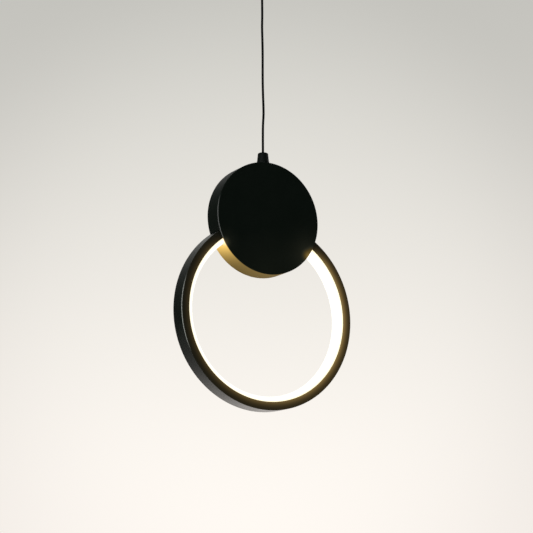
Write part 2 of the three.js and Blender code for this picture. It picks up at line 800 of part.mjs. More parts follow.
piece(lamp, "lamp_gland", lampGland(), BLACK_PLASTIC);
piece(lamp, "gland_set_screw", glandSetScrew(), ZINC, [0, 0, DISC_RADIUS + GRUB_RISE]);
const nutHalf = GLAND_NUT_FLATS / Math.sqrt(3);
const nutTop = Math.sqrt(shellInner ** 2 - nutHalf ** 2) - SEAT;
piece(
  lamp,
  "gland_nut",
  nut(GLAND_NUT_FLATS, GLAND_NUT_HEIGHT, GLAND_TAIL_RADIUS + RUNNING),
  ZINC,
  [0, 0, nutTop - GLAND_NUT_HEIGHT],
  [0, 0, NUT_FLAT_TURN],
);
piece(lamp, "front_housing", frontHousing(), BLACK_METAL);
piece(lamp, "rear_cover", rearCover(), BLACK_METAL);
for (const [name, angle] of Object.entries(PILLAR_ANGLES)) {
  const [x, z] = pillarPlace(angle);
  piece(
    lamp,
    `cover_screw_${name}`,
    screw(M3_SUNK, true),
    BLACK_METAL,
    [x, discBack - RUNNING, z],
    [-90, 0, 0],
  );
}

// LED driver: a case with two ears, closed by a lid at the rear
const driverNear = faceInside + DRIVER_STAND_OFF + SEAT;
const driverFar = driverNear + DRIVER_DEPTH;
const driverOutline = () =>
  outline(
    roundedRectangle(
      0,
      (driverTop + driverBottom) / 2,
      DRIVER_WIDTH,
      driverTop - driverBottom,
      DRIVER_CORNER_RADIUS,
    ),
  );

function driverCase() {
  const body = solid(plateXZ(driverOutline(), driverNear, driverFar));
  const ears = [-1, 1].map((side) => {
    const inner = side * (DRIVER_WIDTH / 2 - SINK);
    const outer = side * (DRIVER_WIDTH / 2 + DRIVER_EAR_WIDTH);
    return block(
      [Math.min(inner, outer), driverNear, earZ - DRIVER_EAR_HEIGHT / 2],
      [Math.max(inner, outer), driverNear + DRIVER_EAR_THICKNESS, earZ + DRIVER_EAR_HEIGHT / 2],
    );
  });
  const holes = [-1, 1].map((side) =>
    rod(
      [side * earOffset, driverNear - OVERRUN, earZ],
      [side * earOffset, driverNear + DRIVER_EAR_THICKNESS + OVERRUN, earZ],
      M3_PAN.shank + RUNNING,
    ),
  );
  const entry = rod(
    [-DRIVER_ENTRY_OFFSET, ringY, driverTop - CORD_DIAMETER],
    [-DRIVER_ENTRY_OFFSET, ringY, driverTop + OVERRUN],
    cordRadius + RUNNING,
  );
  const exits = [-1, 1].map((side) =>
    rod(
      [leadX, ringY + (side * LEAD_SPREAD) / 2, driverBottom - OVERRUN],
      [leadX, ringY + (side * LEAD_SPREAD) / 2, driverBottom + CORD_DIAMETER],
      leadRadius + RUNNING,
      CORD_SIDES,
    ),
  );
  return cut(join(body, ...ears), ...holes, entry, ...exits);
}

const [leadX] = ringPlace(GROMMET_ANGLE, RING_RADIUS);
piece(lamp, "driver_case", driverCase(), WHITE_PLASTIC);
piece(
  lamp,
  "driver_lid",
  plateXZ(driverOutline(), driverFar + SEAT, driverFar + SEAT + DRIVER_LID_THICKNESS),
  WHITE_PLASTIC,
);
for (const [side, name] of [[-1, "left"], [1, "right"]])
  piece(
    lamp,
    `driver_screw_${name}`,
    screw(M3_PAN),
    ZINC,
    [side * earOffset, driverNear + DRIVER_EAR_THICKNESS + SEAT, earZ],
    [-90, 0, 0],
  );

// The cord's end inside the housing: down the gland's stem, aside and down into the driver
const tailTop = GLAND_HEIGHT + DISC_RADIUS + SEAT - CORD_IN_GLAND - SEAT;
piece(
  lamp,
  "cord_tail",
  tube(
    [
      [0, 0, tailTop],
      [0, 0, glandStemEnd],
      ...TAIL_ROUTE_SHARES.map(([across, down]) => [
        -across * DRIVER_ENTRY_OFFSET,
        across * ringY,
        glandStemEnd + (driverTop - glandStemEnd) * down,
      ]),
      [-DRIVER_ENTRY_OFFSET, ringY, driverTop - CORD_DIAMETER + SEAT],
    ],
    cordRadius,
    ROUTE_STEP_DIAMETERS,
  ),
  BLACK_RUBBER,
);

// The ring's own origin is its middle, half way through its depth
const ring = new THREE.Group();
ring.position.set(0, ringY, -RING_DROP);
lamp.add(ring);

// A wedge from the ring's middle upwards, to open a full turn at its top
function topWedge(halfAngle) {
  const reach = RING_RADIUS + RING_FACE;
  const half = reach * Math.tan(radians(halfAngle));
  return solid(plateXZ(outline([[0, 0], [half, reach], [-half, reach]]), -RING_DEPTH, RING_DEPTH));
}

// A hole through the ring's outer wall, at an angle from the top
const wallHole = (angle, radius, sides) =>
  rod([0, 0, wallInside - OVERRUN], [0, 0, RING_RADIUS + OVERRUN], radius, sides).rotate([0, angle, 0]);

// U-shaped profile: outer wall, two flanges, and a rib on each flange for the diffuser to stand on
function ringChannel() {
  const half = RING_DEPTH / 2;
  const ribOuter = wallInside - RIB_FROM_WALL;
  const ribInner = ribOuter - RIB_SIZE;
  const inside = [
    [wallInside, channelHalf],
    [ribOuter, channelHalf],
    [ribOuter, channelHalf - RIB_SIZE],
    [ribInner, channelHalf - RIB_SIZE],
    [ribInner, channelHalf],
    [ringInner, channelHalf],
  ];
  const profile = [
    [ringInner, -half + RING_EDGE],
    [ringInner + RING_EDGE, -half],
    [RING_RADIUS - RING_EDGE, -half],
    [RING_RADIUS, -half + RING_EDGE],
    [RING_RADIUS, half - RING_EDGE],
    [RING_RADIUS - RING_EDGE, half],
    [ringInner + RING_EDGE, half],
    [ringInner, half - RING_EDGE],
    ...inside.toReversed(),
    ...inside.map(([radius, y]) => [radius, -y]),
  ];
  const joint = block([-RING_JOINT_GAP / 2, -RING_DEPTH, ringInner - OVERRUN], [
    RING_JOINT_GAP / 2,
    RING_DEPTH,
    RING_RADIUS + OVERRUN,
  ]);
  const holes = [-1, 1].flatMap((side) => [
    wallHole(side * SPLICE_SCREW_ANGLE, M2_SPLICE.shank + RUNNING, SCREW_SEGMENTS),
    wallHole(side * BRACKET_ANGLE, M3_RING.shank + RUNNING, SCREW_SEGMENTS),
  ]);
  const leadHole = wallHole(GROMMET_ANGLE, GROMMET_WAIST_RADIUS + RUNNING, SMALL_SEGMENTS);
  return cut(solid(turnedY(profile, RING_SEGMENTS)), joint, ...holes, leadHole);
}

// Milky diffuser: a domed wall between the flanges on two legs that stand on the ribs
function ringDiffuser() {
  const footRadius = wallInside - RIB_FROM_WALL - RIB_SIZE - SEAT;
  const inner = diffuserHalf - DIFFUSER_WALL;
  const outside = domeCurve(diffuserHalf, DIFFUSER_PROUD, 1);
  const inside = domeCurve(inner, DIFFUSER_PROUD - DIFFUSER_WALL, -1);
  const section = [
    [footRadius, inner],
    [footRadius, diffuserHalf],
    ...outside,
    [footRadius, -diffuserHalf],
    [footRadius, -inner],
    ...inside,
  ];
  return cut(solid(turnedY(section, RING_SEGMENTS)), topWedge(DIFFUSER_END_ANGLE));
}

// Flexible board against the outer wall, with its light chips
function ledStrip() {
  const half = STRIP_WIDTH / 2;
  const band = cut(
    solid(
      turnedY(
        [
          [stripInner, -half],
          [stripOuter, -half],
          [stripOuter, half],
          [stripInner, half],
        ],
        RING_SEGMENTS,
      ),
    ),
    topWedge(STRIP_END_ANGLE),
  );
  const span = 360 - 2 * STRIP_END_ANGLE;
  const chips = Math.floor((radians(span) * stripInner) / CHIP_PITCH);
  const chip = block(
    [-CHIP_LENGTH / 2, -CHIP_WIDTH / 2, stripInner - CHIP_HEIGHT],
    [CHIP_LENGTH / 2, CHIP_WIDTH / 2, stripInner + STRIP_THICKNESS / 2],
  );
  const placed = Array.from({ length: chips }, (_, i) =>
    chip.rotate([0, STRIP_END_ANGLE + (span * (i + 1 / 2)) / chips, 0]),
  );
  return join(band, ...placed);
}

// Curved plate over the butt joint of the rolled profile
function splicePlate() {
  const inner = RING_RADIUS + SEAT;
  const outer = inner + SPLICE_THICKNESS;
  const half = SPLICE_HALF_ANGLE;
  const shape = outline([
    ...arc(0, 0, outer, 90 - half, 90 + half),
    ...arc(0, 0, inner, 90 + half, 90 - half),
  ]);
  const holes = [-1, 1].map((side) =>
    rod([0, 0, inner - OVERRUN], [0, 0, outer + OVERRUN], M2_SPLICE.shank + RUNNING).rotate([
      0,
      side * SPLICE_SCREW_ANGLE,
      0,
    ]),
  );
  return cut(solid(plateXZ(shape, -SPLICE_WIDTH / 2, SPLICE_WIDTH / 2)), ...holes);
}

const footNear = faceInside + BRACKET_BOSS_HEIGHT + SEAT - ringY;

// Bent bracket: a foot screwed to the ring's outer wall and a leg screwed to a post of the front shell
function ringBracket() {
  const base = RING_RADIUS + SEAT;
  const bend = BRACKET_BEND_RADIUS;
  const inside = bend - BRACKET_THICKNESS;
  const shape = outline([
    ...arc(footNear + bend, base + bend, bend, 180, 270),
    [footNear + BRACKET_FOOT, base],
    [footNear + BRACKET_FOOT, base + BRACKET_THICKNESS],
    ...arc(footNear + bend, base + bend, inside, 270, 180),
    [footNear + BRACKET_THICKNESS, base + BRACKET_RISE],
    [footNear, base + BRACKET_RISE],
  ]);
  const bent = solid(
    new THREE.ExtrudeGeometry(shape, { depth: BRACKET_LENGTH, bevelEnabled: false })
      .translate(0, 0, -BRACKET_LENGTH / 2)
      .rotateX(Math.PI / 2)
      .rotateZ(Math.PI / 2),
  );
  const legHole = rod(
    [0, footNear - OVERRUN, RING_RADIUS + BRACKET_HOLE_RISE],
    [0, footNear + BRACKET_THICKNESS + OVERRUN, RING_RADIUS + BRACKET_HOLE_RISE],
    M3_PAN.shank + RUNNING,
  );
  const footHole = rod(
    [0, 0, base - OVERRUN],
    [0, 0, base + BRACKET_THICKNESS + OVERRUN],
    M3_RING.shank + RUNNING,
  );
  return cut(bent, legHole, footHole);
}

function grommet() {
  const inner = wallInside - SEAT - GROMMET_FLANGE;
  const outer = RING_RADIUS + SEAT + GROMMET_FLANGE;
  return turnedZ(
    [
      [GROMMET_BORE_RADIUS, inner],
      [GROMMET_RADIUS, inner],
      [GROMMET_RADIUS, inner + GROMMET_FLANGE],
      [GROMMET_WAIST_RADIUS, inner + GROMMET_FLANGE],
      [GROMMET_WAIST_RADIUS, outer - GROMMET_FLANGE],
      [GROMMET_RADIUS, outer - GROMMET_FLANGE],
      [GROMMET_RADIUS, outer],
      [GROMMET_BORE_RADIUS, outer],
    ],
    POST_SEGMENTS,
  );
}

piece(ring, "ring_channel", ringChannel(), BLACK_METAL);
piece(ring, "ring_diffuser", ringDiffuser(), MILK);
piece(ring, "led_strip", ledStrip(), STRIP_BOARD);
piece(ring, "ring_splice_plate", splicePlate(), ZINC);
piece(ring, "lead_grommet", grommet(), BLACK_RUBBER, [0, 0, 0], [0, GROMMET_ANGLE, 0]);
for (const [side, name] of [[-1, "left"], [1, "right"]]) {
  const spliceAt = side * SPLICE_SCREW_ANGLE;
  const spliceHead = RING_RADIUS + 2 * SEAT + SPLICE_THICKNESS;
  const [spliceX, spliceZ] = ringPlace(spliceAt, spliceHead);
  piece(ring, `splice_screw_${name}`, screw(M2_SPLICE), ZINC, [spliceX, 0, spliceZ], [0, spliceAt, 0]);
  const at = side * BRACKET_ANGLE;
  piece(ring, `ring_bracket_${name}`, ringBracket(), ZINC, [0, 0, 0], [0, at, 0]);
  const [headX, headZ] = ringPlace(at, wallInside - SEAT);
  piece(ring, `bracket_ring_screw_${name}`, screw(M3_RING), ZINC, [headX, 0, headZ], [0, 180 + at, 0]);
  const [legX, legZ] = ringPlace(at, RING_RADIUS + BRACKET_HOLE_RISE);
  piece(
    ring,
    `bracket_post_screw_${name}`,
    screw(M3_PAN),
    ZINC,
    [legX, footNear + BRACKET_THICKNESS + SEAT, legZ],
    [-90, 0, 0],
  );
}

// Two leads from the driver through the grommet and along the channel to the strip's end
for (const [side, name, finish] of [[-1, "positive", RED_WIRE], [1, "negative", BLACK_WIRE]]) {
  const y = (side * LEAD_SPREAD) / 2;
  const alongRing = LEAD_ROUTE.map(([angle, share]) => {
    const [x, z] = ringPlace(angle, RING_RADIUS - (RING_RADIUS - stripInner + SEAT + leadRadius) * share);
    return [x, y, z];
  });
  const start = [leadX, y, driverBottom + LEAD_DIAMETER + RING_DROP];
  piece(ring, `led_lead_${name}`, tube([start, ...alongRing], leadRadius, ROUTE_STEP_DIAMETERS), finish);
}

export default part;
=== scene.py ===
"""Looks of a pendant light: a flat round housing on a thin cord, crossed by a ring with a lit diffuser.

Metres, +Z up, the housing's face towards -Y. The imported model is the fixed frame. Each piece made here
stands where its node stands, and takes its place from that node's box.
"""

import json
import logging
import math
from abc import ABC, abstractmethod
from collections.abc import Iterator
from contextlib import contextmanager
from dataclasses import dataclass
from enum import Enum

import bmesh
import bpy
import numpy as np
from mathutils import Matrix, Vector


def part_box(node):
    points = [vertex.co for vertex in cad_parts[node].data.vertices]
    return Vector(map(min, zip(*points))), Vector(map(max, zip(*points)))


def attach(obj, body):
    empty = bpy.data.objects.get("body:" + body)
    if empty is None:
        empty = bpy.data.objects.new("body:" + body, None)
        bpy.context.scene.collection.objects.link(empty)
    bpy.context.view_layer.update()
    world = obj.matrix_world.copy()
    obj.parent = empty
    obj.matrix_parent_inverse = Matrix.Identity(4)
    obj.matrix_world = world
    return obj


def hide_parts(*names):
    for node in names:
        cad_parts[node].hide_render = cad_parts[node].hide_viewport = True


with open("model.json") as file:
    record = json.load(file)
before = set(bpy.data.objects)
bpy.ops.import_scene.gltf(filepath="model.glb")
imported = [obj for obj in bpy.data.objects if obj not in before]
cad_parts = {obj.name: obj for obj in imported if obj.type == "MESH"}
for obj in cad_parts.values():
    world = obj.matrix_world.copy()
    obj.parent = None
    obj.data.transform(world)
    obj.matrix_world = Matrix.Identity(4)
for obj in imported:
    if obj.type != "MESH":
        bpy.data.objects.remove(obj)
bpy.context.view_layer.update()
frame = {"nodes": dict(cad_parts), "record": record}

LOG = logging.getLogger("pendant_light")

Pair = tuple[float, float]
Colour = tuple[float, float, float]
Place = tuple[float, float, float]
Corner = tuple[float, float, float]
Socket = bpy.types.NodeSocket
Value = float | Colour | Place | Socket

FULL_TURN = 2 * math.pi
RIGHT = (1, 0, 0)
BACK = (0, 1, 0)
UP = (0, 0, 1)
SIDES = (("left", -1), ("right", 1))

# Points nearer than this are one, and edges sharper than this stay sharp.
WELD = 2e-7
CREASE = math.radians(32)

# The gap between touching pieces, and how far a cutter reaches beyond what it cuts.
SEAT = 0.0003
OVERRUN = 0.001

# The radii that ease small edges, from the keenest to the softest.
HAIR = 0.0001
CRISP = 0.00015
FINE = 0.0002
TRIM = 0.00025
EASE = 0.0003
SOFT = 0.0004

# The part of a noise's range over which a gloss changes.
CLOUD_RANGE = (0.3, 0.7)


class Body(Enum):
    """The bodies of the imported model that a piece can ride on."""

    CEILING = "ceiling_mount"
    ANCHOR = "cord_anchor"
    CORD = "hanging_cord"
    LAMP = "lamp_head"


class Slot(Enum):
    """The record's material slots."""

    BLACK_METAL = "black_metal"
    BLACK_SCREW = "black_screw"
    BLACK_PLASTIC = "black_plastic"
    BLACK_RUBBER = "black_rubber"
    CORD_JACKET = "cord_jacket"
    MILKY_DIFFUSER = "milky_diffuser"
    STRIP_BOARD = "strip_board"
    WHITE_PLASTIC = "white_plastic"
    ZINC_PLATE = "zinc_plate"
    BRASS_SCREW = "brass_screw"
    RED_WIRE = "red_wire"
    BLACK_WIRE = "black_wire"


class Axis(Enum):
    """The axis that a profile is turned about."""

    DEPTH = "y"
    HEIGHT = "z"


@dataclass
class Surface:
    """A closed surface as arrays: its points, its four-sided faces and its many-sided end faces."""

    points: np.ndarray
    quads: np.ndarray
    ends: tuple[np.ndarray, ...] = ()

    def __add__(self, other: "Surface") -> "Surface":
        """Both surfaces as one."""
        shift = len(self.points)
        return Surface(
            np.vstack([self.points, other.points]),
            np.vstack([self.quads, other.quads + shift]),
            self.ends + tuple(end + shift for end in other.ends),
        )

    def moved(self, offset: Place, turn: np.ndarray | None = None) -> "Surface":
        """The surface turned about the origin, where a rotation matrix is given, and then moved."""
        points = self.points if turn is None else self.points @ turn.T
        return Surface(points + np.array(offset), self.quads, self.ends)


def angles(count: int) -> np.ndarray:
    """Even angles round a full turn."""
    return np.arange(count) * FULL_TURN / count


def polar(radius: np.ndarray, angle: np.ndarray, height: np.ndarray) -> np.ndarray:
    """Points round the Z axis: (r cos a, r sin a, z) for the radius r, the angle a and the height z."""
    return np.stack(np.broadcast_arrays(radius * np.cos(angle), radius * np.sin(angle), height), axis=-1)


def woven(grid: np.ndarray, rows_close: bool, columns_close: bool = True) -> Surface:
    """Joins a grid of points into four-sided faces.

    Args:
        grid: Points by row and column, three numbers each.
        rows_close: Whether the last row joins the first.
        columns_close: Whether the last column joins the first.

    Returns:
        The surface that passes through all points of the grid.
    """
    rows, columns = grid.shape[:2]
    number = np.arange(rows * columns).reshape(rows, columns)
    if rows_close:
        number = np.vstack([number, number[:1]])
    if columns_close:
        number = np.hstack([number, number[:, :1]])
    quads = np.stack([number[:-1, :-1], number[1:, :-1], number[1:, 1:], number[:-1, 1:]], axis=-1)
    return Surface(grid.reshape(-1, 3), quads.reshape(-1, 4))


def rounded(corners: list[Corner], steps: int = 6, guard: float = 0.00012) -> np.ndarray:
    """A closed outline whose corners are rounded.

    Each corner's arc touches both of its sides. With the half angle h between the sides and the radius r,
    the arc starts r / tan h before the corner and ends as far after it, and its middle lies r / sin h from
    the corner on the line that halves the angle. The arc turns evenly from its first to its last point. One
    more point stands a little way along the straight on either side of an arc, which keeps the straight
    flat where the surface is shaded smooth.

    Args:
        corners: Across, along and fillet radius of each corner, in order. A radius of 0 leaves it sharp.
        steps: How many steps each arc has.
        guard: How far along the straight the point beside an arc stands, at most.

    Returns:
        The points of the outline, two numbers each.
    """
    table = np.array(corners, float)
    spot, radius = table[:, :2], table[:, 2:]
    before = np.roll(spot, 1, axis=0) - spot
    after = np.roll(spot, -1, axis=0) - spot
    side = np.linalg.norm(before, axis=1, keepdims=True)
    before /= side
    after /= np.linalg.norm(after, axis=1, keepdims=True)
    half = np.arccos(np.clip((before * after).sum(axis=1, keepdims=True), -1, 1)) / 2
    bisector = before + after
    bisector /= np.maximum(np.linalg.norm(bisector, axis=1, keepdims=True), WELD)
    middle = spot + bisector * radius / np.sin(half)
    reach = radius / np.tan(half)
    first = spot + before * reach - middle
    last = spot + after * reach - middle
    sweep = (math.pi - 2 * half)[:, None]
    share = np.linspace(0, 1, steps + 1)[None, :, None]
    arcs = first[:, None] * np.sin((1 - share) * sweep) + last[:, None] * np.sin(share * sweep)
    arcs = middle[:, None] + arcs / np.sin(sweep)
    straight = side - reach - np.roll(reach, 1, axis=0)
    guards = np.minimum(guard, straight / 3)
    lead = spot + before * (reach + np.where(radius > 0, guards, 0))
    trail = spot + after * (reach + np.where(radius > 0, np.roll(guards, -1, axis=0), 0))
    points = np.concatenate([lead[:, None], arcs, trail[:, None]], axis=1).reshape(-1, 2)
    apart = np.linalg.norm(points - np.roll(points, 1, axis=0), axis=1) > WELD
    return points[apart]


def turned(
    profile: np.ndarray,
    axis: Axis,
    centre: Place = (0, 0, 0),
    segments: int = 96,
    start: float = 0,
    end: float = FULL_TURN,
) -> Surface:
    """Turns a closed profile about an axis.

    About the height axis, the point with radius r and height z goes to (r cos a, r sin a, z). About the
    depth axis, the point with radius r and place y goes to (r sin a, y, r cos a), so that the angle a runs
    clockwise from the top for the viewer. Less than a full turn is closed by its two end faces.

    Args:
        profile: Radius and place along the axis of each point, as a closed outline.
        axis: The axis that it turns about.
        centre: A point on the axis, from which the profile's places are measured.
        segments: How many steps the turn has.
        start: The first angle.
        end: The last angle.

    Returns:
        The turned surface.
    """
    full = math.isclose(end - start, FULL_TURN)
    angle = np.linspace(start, end, segments + 1)[: segments if full else None]
    grid = polar(profile[:, :1], angle, profile[:, 1:])
    if axis is Axis.DEPTH:
        grid = grid[..., [1, 2, 0]]
    surface = woven(grid + np.array(centre), rows_close=True, columns_close=full)
    if full:
        return surface
    number = np.arange(grid.shape[0] * grid.shape[1]).reshape(grid.shape[:2])
    return Surface(surface.points, surface.quads, (number[:, 0], number[::-1, -1]))


def smooth_path(route: list[Place], steps: int) -> np.ndarray:
    """One smooth curve through the points of a route.

    Between two points the curve is a cubic whose slopes at both come from the neighbouring points, with each
    stretch weighted by the square root of its length, so that it neither loops nor overshoots.

    Args:
        route: The points, in order.
        steps: How many steps each stretch between two points has.

    Returns:
        The points of the curve.
    """
    given = np.array(route, float)
    points = np.vstack([2 * given[0] - given[1], given, 2 * given[-1] - given[-2]])
    weight = np.sqrt(np.linalg.norm(np.diff(points, axis=0), axis=1))[:, None]
    p0, p1, p2, p3 = points[:-3], points[1:-2], points[2:-1], points[3:]
    w0, w1, w2 = weight[:-2], weight[1:-1], weight[2:]
    slope1 = ((p1 - p0) / w0 - (p2 - p0) / (w0 + w1) + (p2 - p1) / w1) * w1
    slope2 = ((p2 - p1) / w1 - (p3 - p1) / (w1 + w2) + (p3 - p2) / w2) * w1
    t = (np.arange(steps) / steps)[None, :, None]
    p1, p2, slope1, slope2 = (part[:, None] for part in (p1, p2, slope1, slope2))
    square = 3 * (p2 - p1) - 2 * slope1 - slope2
    cube = 2 * (p1 - p2) + slope1 + slope2
    curve = p1 + slope1 * t + square * t**2 + cube * t**3
    return np.vstack([curve.reshape(-1, 3), given[-1:]])


def tube(path: np.ndarray, radius: float, across: Place, sides: int = 24) -> Surface:
    """A round tube along a path that lies in one plane.

    Each section is the circle of centre + radius (cos a * across + sin a * side), where side is square to
    both the path and the plane's normal across. Two sections of no radius close the ends.

    Args:
        path: The points of the centreline.
        radius: The tube's radius.
        across: The normal of the plane that the path lies in.
        sides: How many sides a section has.

    Returns:
        The closed tube.
    """
    along = np.gradient(path, axis=0)
    along /= np.linalg.norm(along, axis=1, keepdims=True)
    normal = np.array(across, float)[None, :]
    side = np.cross(along, normal)
    angle = angles(sides)[None, :, None]
    grid = path[:, None] + radius * (np.cos(angle) * normal[:, None] + np.sin(angle) * side[:, None])
    first, last = (np.broadcast_to(end, (1, sides, 3)) for end in (path[0], path[-1]))
    return woven(np.vstack([first, grid, last]), rows_close=False)


def rod(start: Place, end: Place, radius: float, across: Place = BACK, sides: int = 32) -> Surface:
    """A straight tube between two places, square to the direction across: a drill or a socket's cutter."""
    return tube(np.array([start, end], float), radius, across, sides)


def tapered_block(half_top: Pair, half_floor: Pair, top: float, floor: float) -> Surface:
    """A block along Z whose sides draw in evenly from its top to its floor.

    Args:
        half_top: Half its width and depth at the top.
        half_floor: Half its width and depth at the floor.
        top: The height of its top.
        floor: The height of its floor.

    Returns:
        The closed block.
    """
    signs = np.array([[-1, -1], [1, -1], [1, 1], [-1, 1]], float)
    low = np.hstack([signs * half_floor, np.full((4, 1), floor)])
    high = np.hstack([signs * half_top, np.full((4, 1), top)])
    quads = np.array([[3, 2, 1, 0], [4, 5, 6, 7], [0, 1, 5, 4], [1, 2, 6, 5], [2, 3, 7, 6], [3, 0, 4, 7]])
    return Surface(np.vstack([low, high]), quads)


def middle_of(node: str) -> Place:
    """The middle of a node's box."""
    return tuple((low + high) / 2 for low, high in zip(*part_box(node)))


@contextmanager
def edited(mesh: bpy.types.Mesh) -> Iterator[bmesh.types.BMesh]:
    """Opens a mesh for changes and writes them back.

    Args:
        mesh: The mesh that is changed.

    Yields:
        The open mesh.
    """
    work = bmesh.new()
    work.from_mesh(mesh)
    yield work
    work.to_mesh(mesh)
    work.free()


def shade_smooth(mesh: bpy.types.Mesh) -> None:
    """Shades a mesh smooth, but for its sharp edges."""
    mesh.polygons.foreach_set("use_smooth", np.ones(len(mesh.polygons), bool))
    mesh.set_sharp_from_angle(angle=CREASE)


def mesh_of(name: str, surface: Surface) -> bpy.types.Mesh:
    """A mesh of a surface, with its poles and ends merged and its faces pointing outwards.

    Args:
        name: The mesh's name.
        surface: The closed surface.

    Returns:
        The new mesh.
    """
    mesh = bpy.data.meshes.new(name)
    faces = surface.quads.tolist() + [end.tolist() for end in surface.ends]
    mesh.from_pydata(surface.points.tolist(), [], faces)
    with edited(mesh) as work:
        bmesh.ops.remove_doubles(work, verts=work.verts, dist=WELD)
        bmesh.ops.dissolve_degenerate(work, edges=work.edges, dist=WELD)
        bmesh.ops.recalc_face_normals(work, faces=work.faces)
    mesh.validate()
    shade_smooth(mesh)
    return mesh


def placed(name: str, data: bpy.types.ID) -> bpy.types.Object:
    """Makes an object and links it to the scene.

    Args:
        name: The object's name.
        data: Its mesh, light or camera.

    Returns:
        The new object.
    """
    made = bpy.data.objects.new(name, data)
    bpy.context.scene.collection.objects.link(made)
    return made


def carve(target: bpy.types.Object, cutters: tuple[Surface, ...]) -> None:
    """Takes closed surfaces out of an object, one after the other.

    Args:
        target: The object.
        cutters: What is taken out of it.
    """
    for cutter in cutters:
        tool = placed("cutter", mesh_of("cutter", cutter))
        modifier = target.modifiers.new("carve", "BOOLEAN")
        modifier.operation = "DIFFERENCE"
        modifier.solver = "EXACT"
        modifier.object = tool
        graph = bpy.context.evaluated_depsgraph_get()
        carved = bpy.data.meshes.new_from_object(target.evaluated_get(graph))
        target.modifiers.clear()
        plain, target.data = target.data, carved
        for unused in (plain, tool.data):
            bpy.data.meshes.remove(unused)
    shade_smooth(target.data)


def add_beside(target: bpy.types.Object, surface: Surface) -> None:
    """Puts a closed surface into an object's mesh, beside what is there.

    Args:
        target: The object.
        surface: What is put in.
    """
    extra = mesh_of("extra", surface)
    with edited(target.data) as work:
        work.from_mesh(extra)
    bpy.data.meshes.remove(extra)
    shade_smooth(target.data)


def shaded(colour: Colour, share: float) -> Colour:
    """A colour at a share of its brightness."""
    return tuple(share * channel for channel in colour)


class Nodes:
    """Adds shader nodes to one tree."""

    def __init__(self, tree: bpy.types.NodeTree) -> None:
        """Starts with an empty tree."""
        self.tree = tree
        tree.nodes.clear()

    def put(self, socket: Socket, value: Value) -> None:
        """Links an output to a socket, or writes a plain value into it.

        Args:
            socket: The socket that is filled.
            value: The output or the plain value.
        """
        if isinstance(value, Socket):
            self.tree.links.new(value, socket)
        elif socket.type == "RGBA":
            socket.default_value = (*value, 1)
        else:
            socket.default_value = value

    def node(
        self, kind: str, inputs: dict[str | int, Value] | None = None, **settings: str | float
    ) -> bpy.types.Node:
        """Adds a node.

        Args:
            kind: The node's type, without the words that all shader nodes start with.
            inputs: What goes into its sockets, by their names or numbers.
            settings: Its own settings.

        Returns:
            The new node.
        """
        node = self.tree.nodes.new("ShaderNode" + kind)
        for name, setting in settings.items():
            setattr(node, name, setting)
        for key, value in (inputs or {}).items():
            self.put(node.inputs[key], value)
        return node

    def line(
        self, value: Socket, start: float, end: float, low: float = 0, high: float = 1, **settings: str
    ) -> Socket:
        """A value carried evenly from one range into another, and held at its ends.

        Args:
            value: The value that is carried over.
            start: Where the range begins.
            end: Where the range ends.
            low: The result at its beginning.
            high: The result at its end.
            settings: The node's own settings.

        Returns:
            The carried value.
        """
        inputs = {"Value": value, "From Min": start, "From Max": end, "To Min": low, "To Max": high}
        return self.node("MapRange", inputs, **settings).outputs[0]

    def ramp(self, value: Socket, start: float, end: float, low: float = 0, high: float = 1) -> Socket:
        """A value carried from one range into another with a soft start and end."""
        return self.line(value, start, end, low, high, interpolation_type="SMOOTHSTEP")

    def blend(self, share: Socket, first: Value, second: Value) -> Socket:
        """A colour between two others, by a share from 0 to 1."""
        return self.node("Mix", {0: share, 6: first, 7: second}, data_type="RGBA").outputs[2]

    def sum(self, operation: str, *values: Value) -> Socket:
        """The result of a sum on plain numbers, named as the Math node names it."""
        return self.node("Math", dict(enumerate(values)), operation=operation).outputs[0]

    def product(self, first: Value, *others: Value) -> Value:
        """All values multiplied, one after the other."""
        for other in others:
            first = self.sum("MULTIPLY", first, other)
        return first

    def vector(self, operation: str, *values: Value, result: str | int = 0) -> Socket:
        """A result of a sum on vectors, named as the Vector Math node names it."""
        return self.node("VectorMath", dict(enumerate(values)), operation=operation).outputs[result]

    def cosine(self, way: Socket, other: Place) -> Socket:
        """The cosine of the angle between two ways of length 1."""
        return self.vector("DOT_PRODUCT", way, other, result="Value")

    def rays(self) -> tuple[Socket, Socket]:
        """Whether a ray comes from the camera, and whether from a mirror image or through glass."""
        path = self.node("LightPath").outputs
        return path["Is Camera Ray"], self.sum("MAXIMUM", path["Is Glossy Ray"], path["Is Transmission Ray"])


